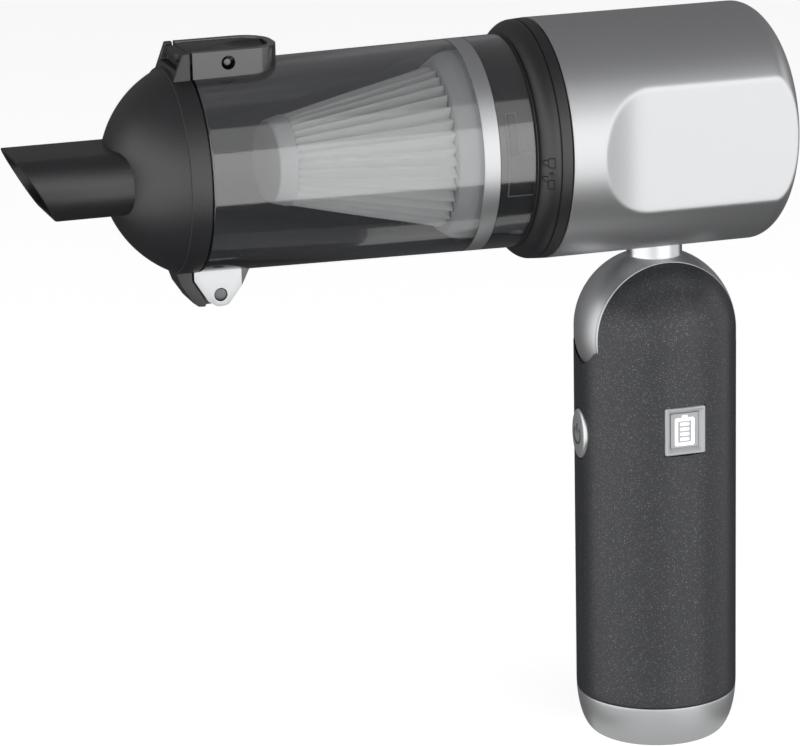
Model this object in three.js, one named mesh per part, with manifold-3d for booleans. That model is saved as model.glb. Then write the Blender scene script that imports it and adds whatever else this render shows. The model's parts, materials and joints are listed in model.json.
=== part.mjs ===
// Cordless handheld vacuum with a folding handle, in millimetres.
// The origin is the centre of the handle's flat base and +Z is up. The nozzle points to -X, the
// display faces -Y and the power button sits on the -X side of the handle.

import * as THREE from 'three';
import { mergeVertices } from 'three/addons/utils/BufferGeometryUtils.js';
import Module from 'manifold-3d';

const wasm = await Module();
wasm.setup();

// ---- Driving dimensions ----------------------------------------------------------------------

const GAP = 0.3; // free space between pieces that touch on the real object
const ROUND = 32; // sides of a large turned surface
const INNER = 20; // sides of a large one out of sight, or of a small one in view
const SMALL = 12; // sides of the smallest

// Handle: a round tube under a half-round dome.
const HANDLE_R = 24;
const HANDLE_WALL = 2.2;
const HANDLE_BORE = HANDLE_R - HANDLE_WALL;
const PIVOT_Z = 124.6; // the fold axis, which is also the centre of the dome
const BASE_EDGE = { height: 16.2, depth: 5.7 }; // elliptical rounding round the base
const BASE_FLAT_R = HANDLE_R - BASE_EDGE.depth;
const BASE_SEAM_Z = 13.3;

// Hub: a slice of a ball that turns in the slot of the dome.
const HUB_R = 23.85;
const HUB_HALF = 9.85;
const SLOT_HALF = 10.2;
const POCKET_R = HUB_R + 0.45;
const SLOT_END_Z = PIVOT_Z + 1.6; // centre of the slot's round ends
const CHEEK_HALF = 12.7; // outer face of the pocket's walls
const FLOOR_R = 27.3; // underside of the pocket's floor, a ball about the pivot
const AXLE_R = 4;

// Head: everything on the barrel's axis. Its own frame has X along the barrel and z = 0 on the axis.
const AXIS_Z = PIVOT_Z + 60.2;
const FOLD_Z = PIVOT_Z - AXIS_Z;
const SHELL_R = 34.83;
const SHELL_WALL = 2;
const SHELL_FRONT_X = -37.36;
const SHELL_BACK_X = 36.46;
const CROWN = { length: 10.68, drop: 19.4 }; // elliptical rounding round the back of the shell
const FLAT = { y: 29.8, startX: -27.5, fullX: -12 }; // worked flats on both sides of the shell
const NECK_R = 8.15;

// Bin: a tapered clear tube in front of the shell.
const BIN_FRONT = { x: -140.75, r: 29.3 };
const BIN_BACK = { x: -47.3, r: 30.78 };
const BIN_WALL = 2;
const BAND = { x0: -62.6, x1: -57.8, seat: 29.8 };
const LUG = { x0: -54.4, x1: -52.2, start: 154, span: 22, turn: 22, play: 1.5, r: 29.5 }; // bayonet

// Nose: a ball-shaped cap with a flat nozzle.
const NOSE_BACK_X = -141.15;
const CAP = { r: 31.6, centreX: -133.6, creaseX: -147, creaseR: 28.6, bandR: 29.2 };
const CAP_WALL = 2;
const NOZZLE = { halfWidth: 17, halfHeight: 8.9, corner: 8, z: -0.4, tipX: -191.7, heelX: -181.5 };
const NOZZLE_WALL = 2;
const DUCT_END_X = -151.2;

// Latch on top of the bin and hinge under it.
const LATCH = { half: 10.5, top: 34.9, backX: -114.7, corner: 8.5, wall: 2.2 };
const LATCH_PIN = { x: -130.5, z: 31.5, r: 1.1 };
const HINGE = { x: -133.5, z: -35.9, r: 1.7, half: 5.5, ear: 2 };

// Filter cone inside the bin.
const FILTER = { smallX: -110.9, smallR: 13, largeX: -68.3, largeR: 23, pleats: 36, depth: 2.6 };

// Motor and fan inside the shell.
const SHAFT_R = 1.5;
const MOTOR_R = 18;

// Battery cells and electronics inside the handle.
const CELL = { r: 9.1, length: 65, z: 18.6, ring: 10.65 };
const DISPLAY = { x0: -5.9, x1: 6.6, z0: 91.7, z1: 106 };
const BUTTON = { halfY: 5.4, halfZ: 7.5, z: 94.4 };

// ---- Shape helpers ---------------------------------------------------------------------------

// Turns a three.js geometry into a closed solid whose faces point out.
function solid(geometry) {
  const bare = geometry.clone();
  bare.deleteAttribute('normal');
  bare.deleteAttribute('uv');
  const merged = mergeVertices(bare, 1e-4);
  const vertProperties = new Float32Array(merged.attributes.position.array);
  const faces = [];
  const index = merged.index.array;
  for (let i = 0; i < index.length; i += 3) {
    const [a, b, c] = [index[i], index[i + 1], index[i + 2]];
    if (a !== b && b !== c && c !== a) faces.push(a, b, c);
  }
  if (signedVolume(vertProperties, faces) < 0) faces.reverse();
  const triVerts = new Uint32Array(faces);
  return new wasm.Manifold(new wasm.Mesh({ numProp: 3, vertProperties, triVerts }));
}

// Six times the signed volume of a triangle list.
function signedVolume(points, faces) {
  let sum = 0;
  for (let i = 0; i < faces.length; i += 3) {
    const [a, b, c] = [0, 1, 2].map((k) => new THREE.Vector3().fromArray(points, 3 * faces[i + k]));
    sum += a.dot(b.cross(c));
  }
  return sum;
}

function join(...parts) {
  return parts.reduce((whole, part) => whole.add(part));
}

function cut(whole, ...tools) {
  return tools.reduce((rest, tool) => rest.subtract(tool), whole);
}

// A body turned about the X axis from points [x, radius].
function turnedX(points, sides = ROUND) {
  const profile = points.map(([x, r]) => new THREE.Vector2(r, x));
  return solid(new THREE.LatheGeometry(profile, sides).rotateZ(-Math.PI / 2));
}

// A body turned about the Z axis from points [radius, z].
function turnedZ(points, sides = ROUND) {
  const profile = points.map(([r, z]) => new THREE.Vector2(r, z));
  return solid(new THREE.LatheGeometry(profile, sides).rotateX(Math.PI / 2));
}

// A closed ring: its profile returns to its first point.
function ringX(points, sides = ROUND) {
  return turnedX([...points, points[0]], sides);
}

function rodX(r, x0, x1, y = 0, z = 0, sides = INNER) {
  const rod = new THREE.CylinderGeometry(r, r, x1 - x0, sides).rotateZ(-Math.PI / 2);
  return solid(rod.translate((x0 + x1) / 2, y, z));
}

function rodY(r, y0, y1, x = 0, z = 0, sides = INNER) {
  return solid(new THREE.CylinderGeometry(r, r, y1 - y0, sides).translate(x, (y0 + y1) / 2, z));
}

function rodZ(r, z0, z1, x = 0, y = 0, sides = INNER) {
  const rod = new THREE.CylinderGeometry(r, r, z1 - z0, sides).rotateX(Math.PI / 2);
  return solid(rod.translate(x, y, (z0 + z1) / 2));
}

function ball(r, x, y, z, sides = 24) {
  const sphere = new THREE.SphereGeometry(r, sides, sides / 2).rotateX(Math.PI / 2);
  return solid(sphere.translate(x, y, z));
}

function block(x0, x1, y0, y1, z0, z1) {
  const box = new THREE.BoxGeometry(x1 - x0, y1 - y0, z1 - z0);
  return solid(box.translate((x0 + x1) / 2, (y0 + y1) / 2, (z0 + z1) / 2));
}

function outline(points) {
  return new THREE.Shape(points.map(([u, v]) => new THREE.Vector2(u, v)));
}

// A flat shape drawn in X and Z, given its width across Y from y0 to y1.
function acrossY(shape, y0, y1) {
  const slab = new THREE.ExtrudeGeometry(shape, { depth: y1 - y0, bevelEnabled: false });
  return solid(slab.rotateX(Math.PI / 2).translate(0, y1, 0));
}

// A flat shape drawn in X and Y, standing from z0 to z1.
function alongZ(shape, z0, z1) {
  const options = { depth: z1 - z0, bevelEnabled: false, curveSegments: 8 };
  return solid(new THREE.ExtrudeGeometry(shape, options).translate(0, 0, z0));
}

// A flat shape drawn in Y and Z, running from x0 to x1.
function alongX(shape, x0, x1, curveSegments = 8) {
  const options = { depth: x1 - x0, bevelEnabled: false, curveSegments };
  const turn = new THREE.Matrix4().makeBasis(
    new THREE.Vector3(0, 1, 0),
    new THREE.Vector3(0, 0, 1),
    new THREE.Vector3(1, 0, 0),
  );
  const run = new THREE.ExtrudeGeometry(shape, options).applyMatrix4(turn);
  return solid(run.translate(x0, 0, 0));
}

// Points on a quarter ellipse, from (u0, v0) to (u1, v1), leaving along u.
function quarter(u0, v0, u1, v1, steps = 8) {
  return Array.from({ length: steps + 1 }, (_, i) => {
    const t = (Math.PI / 2) * (i / steps);
    return [u0 + (u1 - u0) * Math.sin(t), v1 + (v0 - v1) * Math.cos(t)];
  });
}

// Points [x, radius] on a circle of radius r about a centre on the X axis, between two radii.
function arcX(centreX, r, fromRadius, toRadius, steps = 6) {
  const start = Math.asin(fromRadius / r);
  const end = Math.asin(toRadius / r);
  return Array.from({ length: steps + 1 }, (_, i) => {
    const t = start + (end - start) * (i / steps);
    return [centreX - r * Math.cos(t), r * Math.sin(t)];
  });
}

// Part of a flat ring in Y and Z. Angles are in degrees, from +Y towards +Z.
function sector(inner, outer, from, to) {
  const [a, b] = [from, to].map(THREE.MathUtils.degToRad);
  const shape = new THREE.Shape();
  shape.absarc(0, 0, outer, a, b, false);
  shape.absarc(0, 0, inner, b, a, true);
  return shape;
}

// A rectangle with round corners, centred on (u, v).
function roundedRect(halfU, halfV, corner, u = 0, v = 0) {
  const shape = new THREE.Shape();
  const [a, b] = [halfU - corner, halfV - corner];
  shape.absarc(u + a, v + b, corner, 0, Math.PI / 2, false);
  shape.absarc(u - a, v + b, corner, Math.PI / 2, Math.PI, false);
  shape.absarc(u - a, v - b, corner, Math.PI, 1.5 * Math.PI, false);
  shape.absarc(u + a, v - b, corner, 1.5 * Math.PI, 2 * Math.PI, false);
  return shape;
}

// A coil of wire standing along Z.
class Helix extends THREE.Curve {
  constructor(r, z0, z1, turns, x) {
    super();
    Object.assign(this, { r, z0, z1, turns, x });
  }

  getPoint(t, target = new THREE.Vector3()) {
    const a = 2 * Math.PI * this.turns * t;
    const z = this.z0 + (this.z1 - this.z0) * t;
    return target.set(this.x + this.r * Math.cos(a), this.r * Math.sin(a), z);
  }
}

function coil(r, wire, z0, z1, turns, x = 0) {
  const section = new THREE.Shape().absarc(0, 0, wire, 0, 2 * Math.PI, false);
  const extrudePath = new Helix(r, z0 + wire, z1 - wire, turns, x);
  const options = { steps: turns * 10, extrudePath, curveSegments: 3 };
  return solid(new THREE.ExtrudeGeometry(section, options));
}

// ---- Handle ----------------------------------------------------------------------------------

const pocketShape = () => {
  const shape = new THREE.Shape();
  shape.moveTo(SLOT_HALF, PIVOT_Z + 2 * HANDLE_R);
  shape.lineTo(-SLOT_HALF, PIVOT_Z + 2 * HANDLE_R);
  shape.absarc(0, SLOT_END_Z, SLOT_HALF, Math.PI, 2 * Math.PI, false);
  return shape;
};

const slab = (half) => block(-60, 60, -half, half, PIVOT_Z - 60, PIVOT_Z + 60);

const DETENT = { boreR: 2.3, bossR: 4.2, bossZ: 88, floorZ: 90, ballR: 2 };
const CAP_SEAT = { r: 6.8, y: 20.5 };

// The tube's hollow, with the pocket's walls, the axle's bosses and the detent's boss left standing.
function handleHollow() {
  const dome = quarter(PIVOT_Z, HANDLE_BORE, PIVOT_Z + HANDLE_BORE, 0).map(([z, r]) => [r, z]);
  const hollow = turnedZ([[0, 10], [HANDLE_BORE, 10], ...dome]);
  const pocketWall = slab(CHEEK_HALF).intersect(ball(FLOOR_R, 0, 0, PIVOT_Z));
  const bosses = rodY(9, -30, 30, 0, PIVOT_Z);
  const detentBoss = rodZ(DETENT.bossR, DETENT.bossZ, PIVOT_Z);
  return cut(hollow, pocketWall, bosses, detentBoss);
}

function handleShell() {
  const foot = BASE_SEAM_Z + GAP;
  const footR = baseRadius(foot);
  const dome = quarter(PIVOT_Z, HANDLE_R, PIVOT_Z + HANDLE_R, 0, 10).map(([z, r]) => [r, z]);
  const outer = turnedZ([[0, foot], [footR, foot], [HANDLE_R, BASE_EDGE.height], ...dome]);
  const ellipse = new THREE.Shape();
  ellipse.absellipse(0, BUTTON.z, BUTTON.halfY + GAP, BUTTON.halfZ + GAP, 0, 2 * Math.PI, false, 0);
  return cut(
    outer,
    handleHollow(),
    ball(POCKET_R, 0, 0, PIVOT_Z).intersect(slab(SLOT_HALF)),
    alongX(pocketShape(), -40, 40),
    rodY(AXLE_R + GAP, -18.3, 30, 0, PIVOT_Z),
    rodY(CAP_SEAT.r, CAP_SEAT.y, 30, 0, PIVOT_Z),
    rodZ(DETENT.boreR, DETENT.floorZ, PIVOT_Z - 15),
    block(DISPLAY.x0 - GAP, DISPLAY.x1 + GAP, -30, -17, DISPLAY.z0 - GAP, DISPLAY.z1 + GAP),
    alongX(ellipse, -30, -18, 12),
  );
}

// Radius of the handle's outside at a height within the rounded base.
function baseRadius(z) {
  const share = 1 - z / BASE_EDGE.height;
  return BASE_FLAT_R + BASE_EDGE.depth * Math.sqrt(1 - share * share);
}

const PORT = { halfY: 4.45, halfZ: 1.65, corner: 1.6, z: 8, x0: 15.3, x1: 22.6 };

function baseCap() {
  const heights = [0, 0.5, 1.5, 3, 5, 8, 11, BASE_SEAM_Z];
  const edge = heights.map((z) => [baseRadius(z), z]);
  const lip = HANDLE_BORE - GAP;
  const inside = [[lip - 1.8, 17], [lip - 1.8, 12], [19, 6], [16.5, 2.2], [0, 2.2]];
  const cap = turnedZ([[0, 0], ...edge, [lip, BASE_SEAM_Z], [lip, 17], ...inside]);
  const hole = roundedRect(PORT.halfY + GAP, PORT.halfZ + GAP, PORT.corner + GAP, 0, PORT.z);
  return cut(cap, alongX(hole, 14, 30, 4));
}

function chargingPort() {
  const can = alongX(roundedRect(PORT.halfY, PORT.halfZ, PORT.corner, 0, PORT.z), PORT.x0, PORT.x1, 4);
  const mouth = roundedRect(PORT.halfY - 0.3, PORT.halfZ - 0.3, PORT.corner - 0.3, 0, PORT.z);
  const tongue = block(PORT.x0, PORT.x1 - 1, -3.3, 3.3, PORT.z - 0.35, PORT.z + 0.35);
  return join(cut(can, alongX(mouth, PORT.x0 + 1, PORT.x1 + 1, 4)), tongue);
}

const chargingBoard = () => block(-6, 15, -8, 8, PORT.z - PORT.halfZ - 1.6, PORT.z - PORT.halfZ - GAP);

const cellCentres = [90, 210, 330].map((degrees) => {
  const a = THREE.MathUtils.degToRad(degrees);
  return [CELL.ring * Math.cos(a), CELL.ring * Math.sin(a)];
});

function cell([x, y]) {
  const top = CELL.z + CELL.length;
  return join(rodZ(CELL.r, CELL.z, top - 1, x, y), rodZ(2.8, top - 2, top, x, y, SMALL));
}

// A round plate with a seat for each cell on one side.
function cellHolder(z0, z1, seatZ0, seatZ1) {
  const seats = cellCentres.map(([x, y]) => rodZ(CELL.r + GAP, seatZ0, seatZ1, x, y));
  return cut(rodZ(HANDLE_BORE - 0.4, z0, z1), ...seats);
}

const lowerHolder = () => cellHolder(CELL.z - 1.3, CELL.z + 3, CELL.z - GAP, CELL.z + 10);

const upperHolder = () => {
  const top = CELL.z + CELL.length;
  return cellHolder(top - 3, top + 1.3, top - 10, top + GAP);
};

const controlBoard = () => rodZ(19, 85.7, 87.3);

function displayWindow() {
  const { x0, x1, z0, z1 } = DISPLAY;
  return join(
    block(x0, x1, -23.3, -20.4, z0, z1),
    block(x0 + 0.7, x1 - 0.7, -23.75, -22, z0 + 0.7, z1 - 0.7),
  );
}

const displayBoard = () => block(-8.5, 8.5, -19.6, -18.4, DISPLAY.z0 - 2, DISPLAY.z1 + 2);

function powerButton() {
  const oval = (inset) => {
    const shape = new THREE.Shape();
    const [a, b] = [BUTTON.halfY - inset, BUTTON.halfZ - inset];
    return shape.absellipse(0, BUTTON.z, a, b, 0, 2 * Math.PI, false, 0);
  };
  return join(alongX(oval(0), -24.1, -21.2, 12), alongX(oval(0.6), -24.6, -24, 12));
}

const buttonSwitch = () => join(
  block(-18.6, -15.4, -3, 3, BUTTON.z - 3, BUTTON.z + 3),
  rodX(1.5, -20.1, -18, 0, BUTTON.z, 12),
);

const pivotAxle = () => rodY(AXLE_R, -18, 20, 0, PIVOT_Z);

const axleCap = () => {
  const plug = rodY(CAP_SEAT.r - GAP, CAP_SEAT.y + GAP, 30, 0, PIVOT_Z);
  return plug.intersect(ball(HANDLE_R, 0, 0, PIVOT_Z));
};

// The ball stands clear of the hub, which passes over it from one click position to the next.
const DETENT_BALL_Z = PIVOT_Z - HUB_R - 0.25 - DETENT.ballR;

const detentBall = () => ball(DETENT.ballR, 0, 0, DETENT_BALL_Z, 12);

const detentSpring = () => coil(1.55, 0.3, DETENT.floorZ + 0.2, DETENT_BALL_Z - DETENT.ballR - 0.1, 4);

// ---- Neck and hub ----------------------------------------------------------------------------

const SPIGOT = { r: 6, z: FOLD_Z + 14.5 };
const NECK_FLANGE = { r: 11, z0: -30.4, z1: -28.4, screwX: 8.4 };
const NECK_BORE = 4.2;

function hubBall() {
  const slice = ball(HUB_R, 0, 0, FOLD_Z).intersect(block(-30, 30, -HUB_HALF, HUB_HALF, -90, -30));
  const clicks = [[-1, 0], [0, -1], [1, 0]].map(([x, z]) => {
    const reach = HUB_R + 1.5;
    return ball(DETENT.ballR, x * reach, 0, FOLD_Z + z * reach, 12);
  });
  const socket = rodZ(SPIGOT.r + GAP, SPIGOT.z - GAP, 0);
  return cut(slice, rodY(AXLE_R + 0.25, -20, 20, 0, FOLD_Z), socket, ...clicks);
}

function neckTube() {
  const tube = cut(rodZ(NECK_R, -40, -29, 0, 0, INNER), ball(HUB_R + GAP, 0, 0, FOLD_Z));
  const spigot = rodZ(SPIGOT.r, SPIGOT.z, -36);
  const flange = rodZ(NECK_FLANGE.r, NECK_FLANGE.z0, NECK_FLANGE.z1, 0, 0, INNER);
  const bore = rodZ(NECK_BORE, -60, 0);
  return cut(join(tube, spigot, flange), bore, ...screwHoles(1.3));
}

function screwHoles(r) {
  const { screwX } = NECK_FLANGE;
  return [-screwX, screwX].map((x) => rodZ(r, -32.6, -20, x, 0, 12));
}

function neckScrew(side) {
  const x = side * NECK_FLANGE.screwX;
  const head = NECK_FLANGE.z1 + 0.2;
  const slot = block(x - 3, x + 3, -0.3, 0.3, head + 0.7, head + 3);
  return cut(join(rodZ(1, -32, head + 0.5, x, 0, 12), rodZ(2, head, head + 1.4, x, 0, 12)), slot);
}

// ---- Motor shell and what it holds -----------------------------------------------------------

// A cutter for the flats on both sides. Its depth grows as 1 - (1 - t)^2 and settles at FLAT.y.
function flats(inset) {
  const run = Array.from({ length: 6 }, (_, i) => {
    const t = i / 5;
    const depth = (SHELL_R - FLAT.y) * (1 - (1 - t) ** 2);
    return [FLAT.startX + (FLAT.fullX - FLAT.startX) * t, SHELL_R - inset - depth];
  });
  const side = (sign) => outline([
    ...run.map(([x, y]) => [x, sign * y]),
    [60, sign * (FLAT.y - inset)],
    [60, sign * 60],
    [FLAT.startX, sign * 60],
  ]);
  return [1, -1].map((sign) => alongZ(side(sign), -40, 40));
}

// The shell's outside, or the hollow inside it when inset is the wall's thickness.
function shellForm(inset, frontX) {
  const r = SHELL_R - inset;
  const startX = SHELL_BACK_X - CROWN.length;
  const crown = quarter(startX, r, SHELL_BACK_X - inset, SHELL_R - CROWN.drop - inset / 3, 7);
  return cut(turnedX([[frontX, 0], [frontX, r], ...crown, [SHELL_BACK_X - inset, 0]]), ...flats(inset));
}

const VENT_R = 14.3;

function motorShell() {
  const hollow = shellForm(SHELL_WALL, SHELL_FRONT_X - 5);
  const wall = cut(shellForm(0, SHELL_FRONT_X), hollow, rodX(VENT_R, 30, 40, 0, 0, ROUND));
  const { screwX, z0 } = NECK_FLANGE;
  const bosses = [-screwX, screwX].map((x) => rodZ(2.6, -33.6, z0 - 0.2, x, 0, 12));
  return cut(join(wall, ...bosses), rodZ(NECK_R + GAP, -40, -20, 0, 0, INNER), ...screwHoles(1.2));
}

const SPIGOT_R = 28.3; // adapter's front sleeve, inside the bin

function adapterRing() {
  const ring = ringX([
    [-57.4, SPIGOT_R], [-46.2, SPIGOT_R], [-46.2, 30.9], [-46.9, 30.9], [-46.9, 31.25],
    [-42, 34.25], [-41.2, 34.55], [-37.66, 34.8], [-37.66, 32.5], [-30.2, 32.5], [-30.2, 30.5],
    [-42.5, 30.5], [-42.5, 20], [-45, 20], [-45, 26.3], [-57.4, 26.3],
  ]);
  const lugs = bayonet((a) => sector(SPIGOT_R - 1, LUG.r, a, a + LUG.span), LUG.x0, LUG.x1);
  return join(ring, ...lugs);
}

// Three copies, a third of a turn apart, of a shape that starts at the given angle in degrees.
function bayonet(shapeAt, x0, x1) {
  return [0, 120, 240].map((third) => alongX(shapeAt(LUG.start + third), x0, x1, 4));
}

const binGasket = () => ringX([[-47, 28.7], [-47, 30.6], [-46.5, 30.6], [-46.5, 28.7]]);

const fanShroud = () => ringX([
  [-29.2, 9], [-29.2, 26.6], [-14.5, 26.6], [-14.5, 25.4], [-27.8, 25.4], [-27.8, 9],
], INNER);

const motorCan = () => ringX([
  [-14, 2.2], [-14, MOTOR_R], [18, MOTOR_R], [18, 16.6], [-12.6, 16.6], [-12.6, 2.2],
], INNER);

const motorEndBell = () => ringX([
  [18.3, 2.2], [18.3, MOTOR_R], [20, MOTOR_R], [21.5, 8], [21.5, 2.2],
], INNER);

const frontMount = () => ringX([[-29.6, 26.9], [-29.6, 32.5], [-27.3, 32.5], [-27.3, 26.9]], INNER);

const rearMount = () => ringX([[12, 18.3], [12, 27.2], [16, 27.2], [16, 18.3]], INNER);

const exhaustFoam = () => rodX(22, 26, 31);

function exhaustGrille() {
  const slots = Array.from({ length: 12 }, (_, i) => {
    const slot = new THREE.BoxGeometry(10, 1.8, 7.5).translate(35.5, 0, 8.2);
    return solid(slot.rotateX((i * Math.PI) / 6));
  });
  return cut(rodX(VENT_R - GAP, 34.7, 36.3, 0, 0, ROUND), ...slots, rodX(1.5, 30, 40, 0, 0, 12));
}

function impeller() {
  const disc = rodX(24, -19.7, -18.5);
  const hub = rodX(5, -26.5, -19, 0, 0, 16);
  const blades = Array.from({ length: 7 }, (_, i) => {
    const blade = new THREE.BoxGeometry(6.9, 1, 20).rotateX(0.35).translate(-23, 4.2, 12.6);
    return solid(blade.rotateX((i * 2 * Math.PI) / 7));
  });
  return cut(join(disc, hub, ...blades), rodX(SHAFT_R + GAP, -40, 0, 0, 0, 16));
}

const motorShaft = () => rodX(SHAFT_R, -28, 23.5, 0, 0, 16);

function rotorCore() {
  const core = ringX([[-8, 1.8], [-8, 13], [13, 13], [13, 6], [16.5, 6], [16.5, 1.8]], 24);
  const slots = [0, 1, 2, 3, 4].map((i) => {
    const slot = new THREE.BoxGeometry(30, 2, 6).translate(0, 0, 13);
    return solid(slot.rotateX((i * 2 * Math.PI) / 5));
  });
  return cut(core, ...slots.map((slot) => slot.intersect(block(-9, 12.9, -20, 20, -20, 20))));
}

// ---- Filter ----------------------------------------------------------------------------------

// A cone whose alternate columns are drawn in towards the axis, which folds it into pleats.
function pleatedCone(smallR, largeR, x0, x1) {
  const sides = 2 * FILTER.pleats;
  const cone = new THREE.CylinderGeometry(largeR, smallR, x1 - x0, sides);
  const place = cone.attributes.position;
  for (let i = 0; i < place.count; i += 1) {
    const [x, z] = [place.getX(i), place.getZ(i)];
    const r = Math.hypot(x, z);
    const column = Math.round((Math.atan2(x, z) * sides) / (2 * Math.PI));
    const share = r > 1 && column % 2 !== 0 ? (r - FILTER.depth) / r : 1;
    place.setXYZ(i, x * share, place.getY(i), z * share);
  }
  return solid(cone.rotateZ(-Math.PI / 2).translate((x0 + x1) / 2, 0, 0));
}

function filterPleats() {
  const { smallX, largeX, smallR, largeR } = FILTER;
  const outer = pleatedCone(smallR, largeR, smallX, largeX);
  const inner = pleatedCone(smallR - 1.5, largeR - 1.5, smallX - 1, largeX + 1);
  return cut(outer, inner);
}

const filterEndCap = () => turnedX([
  [-116.2, 0], [-116.2, 11.6], [-115.4, 12.6], [-111.2, 13.4], [-111.2, 0],
], INNER);

const filterCollar = () => ringX([
  [-68, 19.5], [-68, 24.2], [-65, 26.4], [-63, 26.8], [-59.2, 26.8], [-59.2, 26],
  [-47.5, 26], [-47.5, 24], [-60, 24], [-64, 19.5],
]);

const filterSeal = () => ringX([[-58.9, 26.3], [-58.9, 28], [-57.7, 28], [-57.7, 26.3]]);

// ---- Bin -------------------------------------------------------------------------------------

// Radius of the bin's outside at a place along it.
function binRadius(x) {
  return BIN_FRONT.r + ((x - BIN_FRONT.x) * (BIN_BACK.r - BIN_FRONT.r)) / (BIN_BACK.x - BIN_FRONT.x);
}

// The space that the bin fills, grown by a margin, to shape what sits on it.
function binSpace(margin) {
  const [x0, x1] = [-150, -100];
  return turnedX([[x0, 0], [x0, binRadius(x0) + margin], [x1, binRadius(x1) + margin], [x1, 0]]);
}

function binShell() {
  const wall = ringX([
    [BIN_FRONT.x, BIN_FRONT.r - BIN_WALL], [BIN_FRONT.x, BIN_FRONT.r],
    [BIN_BACK.x, BIN_BACK.r], [BIN_BACK.x, BIN_BACK.r - BIN_WALL],
  ]);
  const [x0, x1] = [BAND.x0 - GAP, BAND.x1 + GAP];
  const seat = ringX([[x0, BAND.seat], [x0, 33], [x1, 33], [x1, BAND.seat]]);
  const depth = LUG.r + 0.35;
  const end = LUG.turn + LUG.span + LUG.play;
  const run = (a) => sector(20, depth, a - LUG.play, a + end);
  const entry = (a) => sector(20, depth, a + LUG.turn - LUG.play, a + end);
  return cut(
    wall,
    seat,
    ...bayonet(run, LUG.x0 - GAP, LUG.x1 + GAP),
    ...bayonet(entry, LUG.x0 - GAP, BIN_BACK.x + 2),
  );
}

const binBand = () => ringX([
  [BAND.x0, BAND.seat + GAP], [BAND.x0, binRadius(BAND.x0)],
  [BAND.x1, binRadius(BAND.x1)], [BAND.x1, BAND.seat + GAP],
]);

// The latch's plan, open at the front and round at the back, drawn in by a margin.
function latchPlan(margin, frontX) {
  const half = LATCH.half - margin;
  const corner = LATCH.corner - margin;
  const x = LATCH.backX - margin - corner;
  const y = half - corner;
  const shape = new THREE.Shape();
  shape.moveTo(frontX, half);
  shape.lineTo(frontX, -half);
  shape.absarc(x, -y, corner, -Math.PI / 2, 0, false);
  shape.absarc(x, y, corner, 0, Math.PI / 2, false);
  return shape;
}

function latchHousing() {
  return cut(
    alongZ(latchPlan(0, -140.8), 20, LATCH.top),
    alongZ(latchPlan(LATCH.wall, -150), 10, 40),
    rodY(2, -20, 20, LATCH_PIN.x, LATCH_PIN.z),
    binSpace(GAP),
  );
}

const latchPin = () => rodY(LATCH_PIN.r, -9.6, 9.6, LATCH_PIN.x, LATCH_PIN.z, 16);

function latchLever() {
  const plate = alongZ(latchPlan(LATCH.wall + 0.35, -141.3), 32.4, LATCH.top - 0.3);
  const tongue = block(-144.6, -141, -6.5, 6.5, 32.4, LATCH.top - 0.6);
  const hook = block(-144.6, -143.3, -6.5, 6.5, 31.4, 33);
  const ears = [[-7.95, -5.2], [5.2, 7.95]].map(([y0, y1]) => join(
    rodY(2.2, y0, y1, LATCH_PIN.x, LATCH_PIN.z, 16),
    block(LATCH_PIN.x - 2.2, LATCH_PIN.x + 2.2, y0, y1, LATCH_PIN.z, 33),
  ));
  const bore = rodY(LATCH_PIN.r + GAP, -20, 20, LATCH_PIN.x, LATCH_PIN.z, 16);
  return cut(join(plate, tongue, hook, ...ears), bore);
}

const latchSpring = () => coil(1.8, 0.3, 29.95, 32.3, 2, -121);

const hingePinHole = () => rodY(HINGE.r + 0.25, -20, 20, HINGE.x, HINGE.z);

function hingeBracket() {
  const ears = acrossY(outline([
    [-141.1, -27], [-141.1, -31.3], [-137.2, -37.6], [-135, -39], [-132.3, -39.2],
    [-130.7, -38.4], [-127, -33.5], [-124.2, -29.8], [-124.2, -27],
  ]), -HINGE.half, HINGE.half);
  const plan = alongZ(outline([
    [-142, -HINGE.half], [-127.3, -HINGE.half], [-124.2, -2.8], [-124.2, 2.8],
    [-127.3, HINGE.half], [-142, HINGE.half],
  ]), -50, 0);
  const inner = HINGE.half - HINGE.ear;
  const slot = block(-145, -129.6, -inner, inner, -45, -31);
  return cut(ears.intersect(plan), slot, hingePinHole(), binSpace(GAP));
}

const hingePin = () => rodY(HINGE.r, -HINGE.half + 0.05, HINGE.half - 0.05, HINGE.x, HINGE.z);

// ---- Nose ------------------------------------------------------------------------------------

function nozzleSection(wall) {
  const { halfWidth, halfHeight, corner, z } = NOZZLE;
  return roundedRect(halfWidth - wall, halfHeight - wall, corner - wall, 0, z);
}

// Everything in front of the nozzle's slanted mouth.
function mouthCutter() {
  const top = NOZZLE.z + NOZZLE.halfHeight;
  const lean = (NOZZLE.heelX - NOZZLE.tipX) / (2 * NOZZLE.halfHeight);
  const faceX = (z) => NOZZLE.tipX + lean * (top - z);
  return acrossY(outline([[faceX(25), 25], [faceX(-25), -25], [-240, -25], [-240, 25]]), -30, 30);
}

// The catch on the nose's top edge that the latch's hook reaches over.
function catchBlock() {
  const body = outline([[-146.4, 24], [-146.4, 26.8], [-143.5, LATCH.top], [-141.4, LATCH.top], [-141.4, 24]]);
  return cut(
    acrossY(body, -LATCH.half, LATCH.half),
    block(-150, -142.9, -8.6, 8.6, 29.9, 40),
    block(-150, -140, -8.6, 8.6, 31.1, 40),
  );
}

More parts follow.
